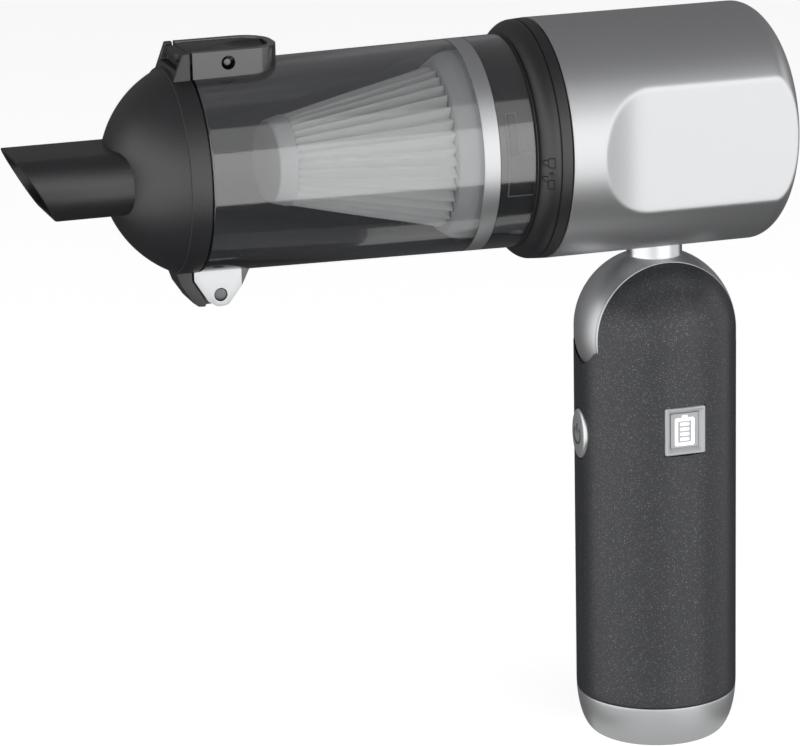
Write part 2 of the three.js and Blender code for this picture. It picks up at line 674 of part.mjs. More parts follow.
// The hinge's moving half: a cover in front of the bracket and a knuckle between its ears.
function hingeKnuckle() {
  const cover = outline([
    [-146.4, -24], [-146.4, -28.5], [-144.9, -32.8], [-144.2, -34.2], [-141.7, -37.6], [-140, -38.7],
    [-138, -39.05], [-137.7, -37.75], [-141.6, -31.4], [-141.6, -24],
  ]);
  const arm = outline([[-142.5, -31.6], [-133.5, -33], [-133.5, -38.8], [-138.2, -38.9], [-141, -37.8]]);
  const inner = HINGE.half - HINGE.ear - GAP;
  const knuckle = join(acrossY(arm, -inner, inner), rodY(2.9, -inner, inner, HINGE.x, HINGE.z));
  return cut(join(acrossY(cover, -HINGE.half, HINGE.half), knuckle), hingePinHole());
}

const FLAP = { x: -150.1, z: 10.7, half: 12, pinR: 0.7 };

function flapEars() {
  return [[-14.3, -12.3], [12.3, 14.3]].map(([y0, y1]) => block(-153, -148.9, y0, y1, 7, 12.2));
}

function noseCap() {
  const inset = CAP.r - CAP_WALL;
  const outer = turnedX([
    ...arcX(CAP.centreX, CAP.r, 0, CAP.creaseR, 8),
    [CAP.creaseX, CAP.bandR], [NOSE_BACK_X, BIN_FRONT.r], [NOSE_BACK_X, 0],
  ]);
  const hollow = turnedX([
    ...arcX(CAP.centreX, inset, 0, 26.2), [-143.2, 26.2], [-143.2, 28.2], [-140, 28.2], [-140, 0],
  ]);
  const ductWall = alongX(nozzleSection(0), -200, DUCT_END_X);
  const shell = join(outer, ductWall, catchBlock(), hingeKnuckle());
  const duct = alongX(nozzleSection(NOZZLE_WALL), -210, -140);
  const room = cut(hollow, ductWall, ...flapEars());
  return cut(shell, room, duct, mouthCutter(), rodY(FLAP.pinR + GAP, -20, 20, FLAP.x, FLAP.z, 12));
}

const noseSeal = () => ringX([[-142.9, 25.4], [-142.9, 27.9], [-141.1, 27.9], [-141.1, 25.4]]);

const flapPin = () => rodY(FLAP.pinR, -14, 14, FLAP.x, FLAP.z, 12);

function inletFlap() {
  const lower = block(FLAP.x - 0.6, FLAP.x + 0.6, -15.9, 15.9, -8.9, 6.7);
  const upper = block(FLAP.x - 0.6, FLAP.x + 0.6, -FLAP.half, FLAP.half, 6, FLAP.z);
  const barrel = rodY(1.5, -FLAP.half, FLAP.half, FLAP.x, FLAP.z, 16);
  const bore = rodY(FLAP.pinR + GAP, -20, 20, FLAP.x, FLAP.z, 12);
  return cut(join(lower, upper, barrel), bore);
}

// ---- Materials -------------------------------------------------------------------------------

const finish = (color, roughness, metalness = 0, more = {}) => (
  new THREE.MeshStandardMaterial({ color, roughness, metalness, ...more })
);

const silver = finish(0xb9bbbd, 0.32, 0.9);
const charcoal = finish(0x45474b, 0.55, 0.3);
const black = finish(0x26272a, 0.5);
const smoky = finish(0x3c3f42, 0.08, 0, { transparent: true, opacity: 0.45 });
const steel = finish(0x8d9094, 0.3, 1);
const rubber = finish(0x2b2b2c, 0.85);
const paper = finish(0xdcdcda, 0.9);
const offWhite = finish(0xc9cac9, 0.6);
const lightGrey = finish(0xc6c8ca, 0.35);
const board = finish(0x1f5b3a, 0.6);
const cellWrap = finish(0x3d7fae, 0.5);
const copper = finish(0x8a4b2a, 0.4, 0.6);
const flapSilicone = finish(0x55585c, 0.7);

// ---- Assembly --------------------------------------------------------------------------------

function piece(name, form, material) {
  const { vertProperties, triVerts } = form.getMesh();
  const geometry = new THREE.BufferGeometry();
  geometry.setAttribute('position', new THREE.BufferAttribute(new Float32Array(vertProperties), 3));
  geometry.setIndex(new THREE.BufferAttribute(new Uint32Array(triVerts), 1));
  geometry.computeVertexNormals();
  const mesh = new THREE.Mesh(geometry, material);
  mesh.name = name;
  return mesh;
}

const handle = new THREE.Group();
handle.add(
  piece('handle_shell', handleShell(), charcoal),
  piece('base_cap', baseCap(), silver),
  piece('charging_port', chargingPort(), steel),
  piece('charging_board', chargingBoard(), board),
  piece('cell_holder_lower', lowerHolder(), offWhite),
  piece('cell_holder_upper', upperHolder(), offWhite),
  piece('control_board', controlBoard(), board),
  piece('display_window', displayWindow(), lightGrey),
  piece('display_board', displayBoard(), board),
  piece('power_button', powerButton(), silver),
  piece('button_switch', buttonSwitch(), black),
  piece('pivot_axle', pivotAxle(), steel),
  piece('axle_cap', axleCap(), charcoal),
  piece('detent_ball', detentBall(), steel),
  piece('detent_spring', detentSpring(), steel),
  ...cellCentres.map((centre, i) => piece(`battery_cell_${i + 1}`, cell(centre), cellWrap)),
);

const head = new THREE.Group();
head.position.z = AXIS_Z;
head.add(
  piece('hub_ball', hubBall(), silver),
  piece('neck_tube', neckTube(), silver),
  piece('neck_screw_front', neckScrew(-1), steel),
  piece('neck_screw_rear', neckScrew(1), steel),
  piece('motor_shell', motorShell(), silver),
  piece('adapter_ring', adapterRing(), black),
  piece('bin_gasket', binGasket(), rubber),
  piece('fan_shroud', fanShroud(), black),
  piece('motor_can', motorCan(), steel),
  piece('motor_end_bell', motorEndBell(), offWhite),
  piece('motor_mount_front', frontMount(), rubber),
  piece('motor_mount_rear', rearMount(), rubber),
  piece('exhaust_foam', exhaustFoam(), rubber),
  piece('exhaust_grille', exhaustGrille(), black),
  piece('impeller', impeller(), offWhite),
  piece('motor_shaft', motorShaft(), steel),
  piece('rotor_core', rotorCore(), copper),
  piece('filter_end_cap', filterEndCap(), offWhite),
  piece('filter_pleats', filterPleats(), paper),
  piece('filter_collar', filterCollar(), offWhite),
  piece('filter_seal', filterSeal(), rubber),
  piece('bin_shell', binShell(), smoky),
  piece('bin_band', binBand(), silver),
  piece('latch_housing', latchHousing(), black),
  piece('latch_pin', latchPin(), steel),
  piece('latch_lever', latchLever(), black),
  piece('latch_spring', latchSpring(), steel),
  piece('hinge_bracket', hingeBracket(), silver),
  piece('hinge_pin', hingePin(), steel),
  piece('nose_cap', noseCap(), black),
  piece('nose_seal', noseSeal(), rubber),
  piece('flap_pin', flapPin(), steel),
  piece('inlet_flap', inletFlap(), flapSilicone),
);

const vacuum = new THREE.Group();
vacuum.add(handle, head);

export default vacuum;
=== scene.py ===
import json

import bmesh
import bpy
import numpy as np
from mathutils import Matrix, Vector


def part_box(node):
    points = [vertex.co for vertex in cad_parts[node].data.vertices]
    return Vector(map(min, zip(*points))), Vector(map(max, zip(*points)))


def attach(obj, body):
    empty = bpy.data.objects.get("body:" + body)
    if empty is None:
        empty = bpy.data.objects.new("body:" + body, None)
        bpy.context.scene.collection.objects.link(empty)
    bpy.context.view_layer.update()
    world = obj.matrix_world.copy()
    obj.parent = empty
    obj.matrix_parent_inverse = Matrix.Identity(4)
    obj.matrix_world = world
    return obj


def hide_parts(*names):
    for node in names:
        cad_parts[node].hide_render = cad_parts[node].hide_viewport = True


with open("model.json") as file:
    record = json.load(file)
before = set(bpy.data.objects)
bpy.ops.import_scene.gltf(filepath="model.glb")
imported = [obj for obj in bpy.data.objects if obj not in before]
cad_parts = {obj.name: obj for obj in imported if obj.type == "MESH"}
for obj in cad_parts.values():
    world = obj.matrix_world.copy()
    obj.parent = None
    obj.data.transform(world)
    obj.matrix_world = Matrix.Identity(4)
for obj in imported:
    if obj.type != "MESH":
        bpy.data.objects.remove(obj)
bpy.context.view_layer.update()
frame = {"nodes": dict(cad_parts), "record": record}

# ---- Studio: a pale floor, and softboxes that stand from the left round to the far right ----
# The floor is seen but not mirrored and lets the lamps' lower ends shine past it, so the glossy
# barrel shows tall softboxes above a dark ground.
VIEW_AZIMUTH, VIEW_ELEVATION, VIEW_ROLL = np.radians((-17.63, 15.59, -1.22))
VIEW_DISTANCE = 1.19764
VIEW_CENTRE = np.array((-0.07912, 0, 0.1187))
LENS = 185.9
SCENE_CENTRE = np.array((-0.03, 0, 0.13))
SOFTBOX_DISTANCE = 1.3


def direction(azimuth, elevation):
    """The unit vector to a place round the object: azimuth 0 is in front, at -Y, and +X is positive."""
    flat = np.cos(elevation)
    return np.array((np.sin(azimuth) * flat, -np.cos(azimuth) * flat, np.sin(elevation)))


def facing(back, roll=0.0):
    """A turn whose -Z looks along minus back, with X level but for the roll."""
    right = np.cross((0, 0, 1), back)
    right /= np.linalg.norm(right)
    up = np.cross(back, right)
    across = right * np.cos(roll) + up * np.sin(roll)
    along = up * np.cos(roll) - right * np.sin(roll)
    return Matrix(np.column_stack((across, along, back)).tolist()).to_4x4()


def lamp_panel(name, place, turn, width, height, radiance):
    """A plain rectangular lamp, whose power is radiance x pi x its area."""
    lamp = bpy.data.lights.new(name, "AREA")
    lamp.shape, lamp.size, lamp.size_y = "RECTANGLE", width, height
    lamp.energy = radiance * np.pi * width * height
    holder = bpy.data.objects.new(name, lamp)
    holder.matrix_world = Matrix.Translation(place) @ turn
    bpy.context.scene.collection.objects.link(holder)


def softbox(name, left, right, low, high, radiance):
    """An upright lamp between two azimuths in degrees, from one height to another in metres."""
    back = direction(np.radians(left + right) / 2, 0)
    width = 2 * SOFTBOX_DISTANCE * np.tan(np.radians(right - left) / 2)
    place = back * SOFTBOX_DISTANCE + (SCENE_CENTRE[0], SCENE_CENTRE[1], (low + high) / 2)
    lamp_panel(name, place, facing(back), width, high - low, radiance)


camera_back = direction(VIEW_AZIMUTH, VIEW_ELEVATION)
camera = bpy.data.objects.new("camera", bpy.data.cameras.new("camera"))
camera.data.lens = LENS
camera.matrix_world = (Matrix.Translation(VIEW_CENTRE + camera_back * VIEW_DISTANCE)
                       @ facing(camera_back, VIEW_ROLL))
bpy.context.scene.collection.objects.link(camera)
bpy.context.scene.camera = camera
bpy.context.scene.view_settings.view_transform = "Standard"

softbox("softbox_front", -8, 50, -0.62, 0.85, 1.4)
softbox("softbox_high", -30, 50, 0.85, 1.9, 0.55)
softbox("softbox_middle", -30, -8, -0.62, 0.85, 0.95)
softbox("softbox_left", -124, -30, -0.62, 0.85, 1.35)
softbox("softbox_right", 50, 104, -0.5, 0.85, 0.7)
lamp_panel("glow_under_foot", (0, -0.02, -0.02), Matrix.Rotation(np.pi, 4, "X"), 0.1, 0.1, 0.45)


def wire(tree, node, inputs):
    """Links each given socket to its input of a node, or sets the input to the given value."""
    for name, source in inputs.items():
        if isinstance(source, bpy.types.NodeSocket):
            tree.links.new(source, node.inputs[name])
        else:
            node.inputs[name].default_value = source
    return node


def add(tree, kind, inputs=None, **values):
    """Adds a shader node, wires its inputs and sets its other values."""
    node = tree.nodes.new("ShaderNode" + kind)
    for key, value in values.items():
        setattr(node, key, value)
    return wire(tree, node, inputs or {})


def maths(tree, operation, *numbers):
    """The result of a Math node."""
    return add(tree, "Math", dict(enumerate(numbers)), operation=operation).outputs[0]


def ramp(tree, value, low, high, ends=(0, 1)):
    """The result of a two-colour ramp from low to high."""
    node = add(tree, "ValToRGB", {0: value})
    for element, end, color in zip(node.color_ramp.elements, ends, (low, high)):
        element.position, element.color = end, (*color, 1)
    return node.outputs[0]


world = bpy.data.worlds.new("studio")
bpy.context.scene.world = world
world.use_nodes = True
sky = world.node_tree
sky_split = add(sky, "SeparateXYZ", {0: add(sky, "TexCoord").outputs["Generated"]})
sky_height = maths(sky, "MULTIPLY_ADD", sky_split.outputs["Z"], 0.5, 0.5)
wire(sky, sky.nodes["Background"],
     {"Color": ramp(sky, sky_height, (0.05, 0.051, 0.053), (0.17, 0.17, 0.175), (0.4, 0.6))})

FLOOR_HALF = 4.0
floor_mesh = bpy.data.meshes.new("floor")
floor_corners = [(-FLOOR_HALF, -FLOOR_HALF, 0), (FLOOR_HALF, -FLOOR_HALF, 0),
                 (FLOOR_HALF, FLOOR_HALF, 0), (-FLOOR_HALF, FLOOR_HALF, 0)]
floor_mesh.from_pydata(floor_corners, [], [(0, 1, 2, 3)])
floor = bpy.data.objects.new("floor", floor_mesh)
bpy.context.scene.collection.objects.link(floor)
floor_paint = bpy.data.materials.new("pale_floor")
floor_paint.use_nodes = True
wire(floor_paint.node_tree, floor_paint.node_tree.nodes["Principled BSDF"],
     {"Base Color": (0.86, 0.86, 0.86, 1), "Roughness": 0.9, "Emission Color": (1, 1, 1, 1),
      "Emission Strength": 0.72})
floor_mesh.materials.append(floor_paint)
floor.visible_glossy = floor.visible_transmission = floor.visible_diffuse = False
floor.visible_shadow = False

# ---- Handle: a round tube of moulded plastic under a half-round dome, painted charcoal ----------
# Fine metal flake lies in the paint. The dome is cut by a ball-shaped pocket and a slot, in which
# the hub and the neck turn; the wall also has openings for the display, the button and the axle.
MM = 0.001
ROUND = 160  # columns round a large turned surface
HANDLE_EDGE = (16.2, 5.7)  # height and depth of the elliptical rounding round the base
HANDLE_WALL = 2.2
SLOT_HALF = 10.2
POCKET_GAP = 0.45
SLOT_RISE = 1.6  # the slot's round ends are centred this far above the pivot
BUTTON_HALF = (5.4, 7.5)
OPENING_GAP = 0.3


def box_mm(node):
    """The lowest and highest corner of a node of the frame, in millimetres."""
    return [np.array(corner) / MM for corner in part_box(node)]


def arc(centre, radii, start, end, steps):
    """Points on an ellipse about centre, from the angle start to the angle end in degrees."""
    t = np.radians(np.linspace(start, end, steps + 1))
    return np.column_stack((centre[0] + radii[0] * np.cos(t), centre[1] + radii[1] * np.sin(t)))


def rounded(points, radius, steps=5, closed=False):
    """A chain of points whose corners are rounded. At each corner the arc touches both sides at a
    distance of radius / tan(half the angle), and half the shorter side at most."""
    points = np.asarray(points, float)
    radius = np.broadcast_to(radius, len(points))
    chain = []
    for i, corner in enumerate(points):
        if radius[i] == 0 or (not closed and i in (0, len(points) - 1)):
            chain.append(corner[None])
            continue
        sides = [points[i - 1] - corner, points[(i + 1) % len(points)] - corner]
        lengths = [np.linalg.norm(side) for side in sides]
        a, b = (side / length for side, length in zip(sides, lengths))
        half = np.arccos(np.clip(a @ b, -1, 1)) / 2
        reach = min(radius[i] / np.tan(half), 0.499 * min(lengths))
        middle = corner + (a + b) / np.linalg.norm(a + b) * reach / np.cos(half)
        first, last = corner + a * reach - middle, corner + b * reach - middle
        t = np.linspace(0, 1, steps + 1)[:, None]
        sweep = first * (1 - t) + last * t
        sweep *= np.linalg.norm(first) / np.linalg.norm(sweep, axis=1, keepdims=True)
        chain.append(middle + sweep)
    return np.concatenate(chain)


def rectangle(left, low, right, high):
    """The corners of an upright rectangle, in order round it."""
    return [(left, low), (right, low), (right, high), (left, high)]


def round_steps(count):
    """Even angles once round a circle, in radians."""
    return np.linspace(0, 2 * np.pi, count, endpoint=False)


def turned(profile, axis, centre=(0, 0), columns=ROUND):
    """A grid turned about an axis: each profile point (along, radius) goes round it as
    centre + radius x (cos t, sin t). The centre is given on the two other axes, in order."""
    along, radius = np.asarray(profile, float).T
    t = round_steps(columns)
    grid = np.empty((len(along), columns, 3))
    first, second = ((1, 2), (0, 2), (0, 1))[axis]
    grid[..., axis] = along[:, None]
    grid[..., first] = centre[0] + radius[:, None] * np.cos(t)
    grid[..., second] = centre[1] + radius[:, None] * np.sin(t)
    return grid


def made(name, vertices, faces, sharp=35):
    """A closed mesh from points in millimetres: doubles merged, faces turned outwards, smooth but
    for edges sharper than the given angle."""
    mesh = bpy.data.meshes.new(name)
    mesh.from_pydata((np.asarray(vertices) * MM).tolist(), [], faces)
    work = bmesh.new()
    work.from_mesh(mesh)
    bmesh.ops.remove_doubles(work, verts=work.verts, dist=2e-6)
    bmesh.ops.dissolve_degenerate(work, dist=1e-7, edges=work.edges)
    bmesh.ops.recalc_face_normals(work, faces=work.faces)
    work.to_mesh(mesh)
    work.free()
    shade(mesh, sharp)
    thing = bpy.data.objects.new(name, mesh)
    bpy.context.scene.collection.objects.link(thing)
    return thing


def shade(mesh, sharp):
    mesh.polygons.foreach_set("use_smooth", np.ones(len(mesh.polygons), bool))
    mesh.set_sharp_from_angle(angle=np.radians(sharp))


def surface(name, grid, closed=False, sharp=35):
    """A skin over a grid of points: columns close on themselves, and rows too if closed. Rows that
    end on an axis shrink to one point there, which closes the skin."""
    rows, columns = grid.shape[:2]
    row, column = np.mgrid[0:rows if closed else rows - 1, 0:columns]
    below, beside = (row + 1) % rows, (column + 1) % columns
    corners = (row * columns + column, below * columns + column,
               below * columns + beside, row * columns + beside)
    return made(name, grid.reshape(-1, 3), np.stack(corners, -1).reshape(-1, 4).tolist(), sharp)


def rod(name, ends, radius, centre, columns=48):
    """A round rod along Y with flat ends, about a centre in x and z."""
    start, end = ends
    return surface(name, turned([(start, 0), (start, radius), (end, radius), (end, 0)], 1, centre,
                                columns))


def prism(name, outline, low, high, axis, sharp=35):
    """A flat outline carried along an axis from low to high, with flat ends."""
    count = len(outline)
    first, second = ((1, 2), (0, 2), (0, 1))[axis]
    points = np.empty((2, count, 3))
    points[..., first], points[..., second] = np.asarray(outline).T[:, None]
    points[0, :, axis], points[1, :, axis] = low, high
    sides = [(i, (i + 1) % count, (i + 1) % count + count, i + count) for i in range(count)]
    ends = [tuple(range(count)), tuple(range(count, 2 * count))]
    return made(name, points.reshape(-1, 3), sides + ends, sharp)


def applied(thing, sharp=35):
    """Fixes a piece's modifiers into its mesh."""
    flat = bpy.data.meshes.new_from_object(
        thing.evaluated_get(bpy.context.evaluated_depsgraph_get()))
    thing.modifiers.clear()
    thing.data = flat
    shade(flat, sharp)
    return thing


def combined(thing, tools, operation="DIFFERENCE", sharp=35):
    """Cuts the tools out of a piece, or joins them to it, and removes them."""
    for tool in tools:
        step = thing.modifiers.new("combine", "BOOLEAN")
        step.operation, step.object, step.solver = operation, tool, "EXACT"
        bpy.context.view_layer.update()
        applied(thing, sharp)
        bpy.data.objects.remove(tool)
    return thing


def softened(thing, width, sharp=35, steps=2):
    """Breaks the sharp edges of a piece by a small rounding."""
    bevel = thing.modifiers.new("edges", "BEVEL")
    bevel.width, bevel.segments = width * MM, steps
    bevel.limit_method, bevel.angle_limit = "ANGLE", np.radians(40)
    bevel.use_clamp_overlap = True
    bpy.context.view_layer.update()
    return applied(thing, sharp)


def placed(thing, material, body, slot, *nodes):
    """Gives a finished piece its material, its body and the nodes that it stands for. The slot argument
    is not used.
    """
    thing.data.materials.clear()
    thing.data.materials.append(material)
    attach(thing, body)
    if nodes:
        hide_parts(*nodes)
    return thing


# A shader node group that every moulded or painted surface uses: a fine grain and a slow unevenness.
moulded = bpy.data.node_groups.new("moulded_surface", "ShaderNodeTree")
for socket, kind in (("Color", "NodeSocketColor"), ("Roughness", "NodeSocketFloat"),
                     ("Grain size", "NodeSocketFloat"), ("Unevenness", "NodeSocketFloat")):
    moulded.interface.new_socket(name=socket, in_out="INPUT", socket_type=kind)
for socket, kind in (("Color", "NodeSocketColor"), ("Roughness", "NodeSocketFloat"),
                     ("Height", "NodeSocketFloat")):
    moulded.interface.new_socket(name=socket, in_out="OUTPUT", socket_type=kind)

moulded_in = moulded.nodes.new("NodeGroupInput").outputs
moulded_place = add(moulded, "TexCoord").outputs["Object"]
moulded_density = maths(moulded, "DIVIDE", 1.0, moulded_in["Grain size"])
moulded_grain = add(moulded, "TexNoise", {"Vector": moulded_place, "Detail": 2.0,
                                          "Scale": moulded_density}).outputs[0]
moulded_slow = add(moulded, "TexNoise", {"Vector": moulded_place, "Scale": 38.0, "Detail": 3.0})
moulded_both = maths(moulded, "ADD", moulded_grain, moulded_slow.outputs[0])
moulded_shift = maths(moulded, "SUBTRACT", moulded_both, 1.0)
moulded_share = maths(moulded, "MULTIPLY", moulded_shift, moulded_in["Unevenness"])
moulded_lift = maths(moulded, "ADD", moulded_share, 1.0)
moulded_tint = add(moulded, "VectorMath", {0: moulded_in["Color"], "Scale": moulded_lift},
                   operation="SCALE")
wire(moulded, moulded.nodes.new("NodeGroupOutput"),
     {"Color": moulded_tint.outputs[0], "Height": moulded_grain,
      "Roughness": maths(moulded, "MULTIPLY", moulded_in["Roughness"], moulded_lift)})


def shader(name):
    """A new material: its node tree and its Principled BSDF."""
    material = bpy.data.materials.new(name)
    material.use_nodes = True
    return material, material.node_tree, material.node_tree.nodes["Principled BSDF"]


def moulded_material(name, color, roughness, metallic=0.0, grain=0.3, relief=0.02, uneven=0.12,
                     coat=0.0, specular=0.5):
    """Plastic, paint or metal with the moulded_surface group: grain in mm, relief in mm."""
    material, tree, finish = shader(name)
    group = add(tree, "Group", node_tree=moulded)
    wire(tree, group, {"Color": (*color, 1), "Roughness": roughness, "Grain size": grain * MM,
                       "Unevenness": uneven})
    bump = add(tree, "Bump", {"Height": group.outputs["Height"], "Distance": relief * MM})
    wire(tree, finish, {"Base Color": group.outputs["Color"], "Roughness": group.outputs["Roughness"],
                        "Normal": bump.outputs[0], "Metallic": metallic,
                        "Specular IOR Level": specular, "Coat Weight": coat, "Coat Roughness": 0.08,
                        "Coat IOR": 1.9})
    return material


def flake_paint(name, color, flake, roughness, flake_size=0.3, share=0.3):
    """Paint in which a share of small cells holds a bright metal flake."""
    material = moulded_material(name, color, roughness, grain=0.5, relief=0.015, uneven=0.25)
    tree, finish = material.node_tree, material.node_tree.nodes["Principled BSDF"]
    place = add(tree, "TexCoord").outputs["Object"]
    cells = add(tree, "TexVoronoi", {"Vector": place, "Scale": 1 / (flake_size * MM)})
    chance = add(tree, "SeparateColor", {0: cells.outputs["Color"]})
    lucky = maths(tree, "GREATER_THAN", chance.outputs[0], 1 - share)
    core = maths(tree, "LESS_THAN", cells.outputs["Distance"], 0.42)
    strength = maths(tree, "MULTIPLY", maths(tree, "MULTIPLY", lucky, core), chance.outputs[1])
    plain = finish.inputs["Base Color"].links[0].from_socket
    mix = add(tree, "Mix", data_type="RGBA")
    wire(tree, mix, {0: strength, 6: plain, 7: (*flake, 1)})
    wire(tree, finish, {"Base Color": mix.outputs[2], "Metallic": strength})
    return material


charcoal_paint = flake_paint("charcoal_flake_paint", (0.032, 0.033, 0.036), (0.24, 0.24, 0.25), 0.35)

shell_low, shell_high = box_mm("handle_shell")
handle_r = (shell_high[0] - shell_low[0]) / 2
axle_low, axle_high = box_mm("pivot_axle")
pivot_z = (axle_low[2] + axle_high[2]) / 2
shell_foot = shell_low[2]
button_z = box_mm("power_button")[0][2] + BUTTON_HALF[1]


def handle_radius(z):
    """The handle's outside: an ellipse up from the flat base, then a straight tube."""
    share = 1 - np.clip(z / HANDLE_EDGE[0], 0, 1)
    return handle_r - HANDLE_EDGE[1] * (1 - np.sqrt(1 - share**2))


def handle_profile():
    """From the foot up over the dome and back down inside, as (z, radius)."""
    inner_r = handle_r - HANDLE_WALL
    foot = np.linspace(shell_foot, HANDLE_EDGE[0], 8)
    edge = np.column_stack((foot, handle_radius(foot)))
    tube = np.column_stack((np.linspace(22, pivot_z - 6, 14), np.full(14, handle_r)))
    dome = arc((pivot_z, 0), (handle_r, handle_r), 90, 0, 40)
    inside = arc((pivot_z, 0), (inner_r, inner_r), 0, 90, 20)
    lip = [(shell_foot, inner_r), (shell_foot, handle_radius(shell_foot) - 0.5)]
    return np.concatenate((rounded([lip[1], edge[0], edge[1]], 0.25)[1:-1], edge[1:], tube,
                           dome[:, [0, 1]], inside, lip))


def oval(centre, halves, count=72):
    return arc(centre, halves, 0, 360, count)[:-1]


def slab_of_ball(name, radius, half, z):
    """A ball about (0, 0, z), sliced flat at y = -half and y = half."""
    edge = np.degrees(np.arcsin(half / radius))
    side = arc((0, 0), (radius, radius), -edge, edge, 20)[:, ::-1]
    return surface(name, turned([(-half, 0), *side, (half, 0)], 1, (0, z)))


hub_r = handle_r - 0.15
pocket_r = hub_r + POCKET_GAP
slot_outline = np.concatenate((
    [(SLOT_HALF, pivot_z + 40), (-SLOT_HALF, pivot_z + 40)],
    arc((0, pivot_z + SLOT_RISE), (SLOT_HALF, SLOT_HALF), 180, 360, 48)))
window_low, window_high = box_mm("display_window")
window_outline = rounded(rectangle(window_low[0] - OPENING_GAP, window_low[2] - OPENING_GAP,
                                   window_high[0] + OPENING_GAP, window_high[2] + OPENING_GAP),
                         0.7, closed=True)
cap_low, cap_high = box_mm("axle_cap")
cap_seat_r = (cap_high[2] - cap_low[2]) / 2 + OPENING_GAP
button_hole = np.add(BUTTON_HALF, OPENING_GAP)
handle_skin = surface("handle_skin", turned(handle_profile(), 2), closed=True)
# The pocket's cheeks and floor are a slab of a ball, held inside the wall and joined to it before
# the pocket is cut.
FLOOR_R = 27.3
core_r = handle_r - 1
core_dome = arc((pivot_z, 0), (core_r, core_r), 90, 0, 30)
cheeks = slab_of_ball("pocket_cheeks", FLOOR_R, SLOT_HALF + 2.5, pivot_z)
combined(cheeks, [surface("core", turned([(60, 0), (60, core_r), *core_dome], 2))], "INTERSECT")
combined(handle_skin, [cheeks], "UNION")
combined(handle_skin, [
    slab_of_ball("pocket", pocket_r, SLOT_HALF, pivot_z),
    prism("slot", slot_outline, -40, 40, 0),
    prism("display_opening", window_outline, -30, -17, 1),
    prism("button_opening", oval((0, button_z), button_hole), -30, -18, 0),
    rod("cap_seat", (cap_low[1] - 0.4, 30), cap_seat_r, (0, pivot_z), 64),
], sharp=28)
placed(handle_skin, charcoal_paint, "handle", "handle_paint", "handle_shell")

# ---- Axle cap: a plastic plug pressed into the handle over the pivot axle's far end -------------
# It is painted as the handle is, and its face follows the dome.
face = np.linspace(0, cap_seat_r - OPENING_GAP, 12)
cap_face = np.column_stack((np.sqrt(handle_r**2 - face**2) - 0.1, face))
cap_rim = rounded([cap_face[-2], cap_face[-1], (cap_low[1], face[-1])], 0.3)[1:]
axle_plug = surface("axle_plug", turned([*cap_face[:-1], *cap_rim, (cap_low[1], 0)], 1,
                                        (0, pivot_z), 72))
placed(axle_plug, charcoal_paint, "handle", "handle_paint", "axle_cap")

# ---- Base cup: a pressed silver cap that closes the handle's foot ------------------------------
# Its lip sits inside the tube. The rounded rectangle low on the +X side is the charging socket.
silver_paint = moulded_material("silver_satin", (0.65, 0.655, 0.66), 0.4, 0.92, 0.22, 0.004, 0.05)
cup_top_z = box_mm("base_cap")[1][2]
cup_seam = shell_foot - OPENING_GAP
cup_steps = np.concatenate((np.linspace(0, 2, 9)[1:], np.linspace(2.8, cup_seam, 10)))
cup_side = np.column_stack((cup_steps, handle_radius(cup_steps)))
lip_r = handle_r - HANDLE_WALL - OPENING_GAP
cup_lip = [(cup_seam, lip_r), (cup_top_z, lip_r), (cup_top_z, lip_r - 1.8), (12, lip_r - 1.8),
           (6, 19), (2.2, 16.5), (2.2, 0)]
cup_flat = [(0, 0), (0, 10), (0, handle_r - HANDLE_EDGE[1] - 0.6)]
cup_top = rounded([cup_side[-2], cup_side[-1], cup_lip[0]], 0.3)[1:]
base_cup = surface("base_cup", turned([*cup_flat, *cup_side[:-1], *cup_top, *cup_lip[1:]], 2))
port_low, port_high = box_mm("charging_port")
port_outline = rounded(rectangle(port_low[1] - OPENING_GAP, port_low[2] - OPENING_GAP,
                                 port_high[1] + OPENING_GAP, port_high[2] + OPENING_GAP),
                       1.85, 8, closed=True)
combined(base_cup, [prism("port_hole", port_outline, 14, 30, 0)])
placed(base_cup, silver_paint, "handle", "silver_paint", "base_cap")

# ---- Display: a bevelled square window with a battery symbol behind it -------------------------
# A light grey frame slopes in to a flat pane; the symbol and its four bars are lit from behind.
pane_white = moulded_material("display_frame", (0.50, 0.51, 0.52), 0.28, 0.0, 0.2, 0.003, 0.04, 0.5)
pane_grey = moulded_material("display_pane", (0.42, 0.43, 0.44), 0.12, 0.0, 0.2, 0.0, 0.03, 0.6)
symbol_white, symbol_tree, symbol_finish = shader("lit_symbol")
symbol_glow = add(symbol_tree, "TexNoise", {"Vector": add(symbol_tree, "TexCoord").outputs["Object"],
                                            "Scale": 260.0})
symbol_color = ramp(symbol_tree, symbol_glow.outputs[0], (0.86, 0.87, 0.88), (1, 1, 1))
wire(symbol_tree, symbol_finish, {"Base Color": symbol_color, "Emission Color": symbol_color,
                                  "Emission Strength": 0.55})

window_x = (window_low[0] + window_high[0]) / 2
window_z = (window_low[2] + window_high[2]) / 2
window_half = (window_high[0] - window_low[0]) / 2, (window_high[2] - window_low[2]) / 2


def square_ring(half_x, half_z, y, corner, steps=6):
    """A rounded rectangle about the window's centre, at one depth y, as a row of points."""
    corners = rectangle(window_x - half_x, window_z - half_z, window_x + half_x, window_z + half_z)
    flat = rounded(corners, corner, steps, closed=True)
    return np.column_stack((flat[:, 0], np.full(len(flat), y), flat[:, 1]))


def frame_rows():
    """Rows from the frame's back, over its rim and down its slope to the pane."""
    steps = [(0.0, -20.6, 0.5), (0.0, -23.45, 0.5), (0.25, -23.72, 0.5), (0.6, -23.72, 0.5),
             (0.8, -23.6, 0.45), (1.75, -22.7, 0.4), (1.85, -22.5, 0.4), (1.85, -21.6, 0.4)]
    return np.stack([square_ring(window_half[0] - inset, window_half[1] - inset, y, corner)
                     for inset, y, corner in steps])


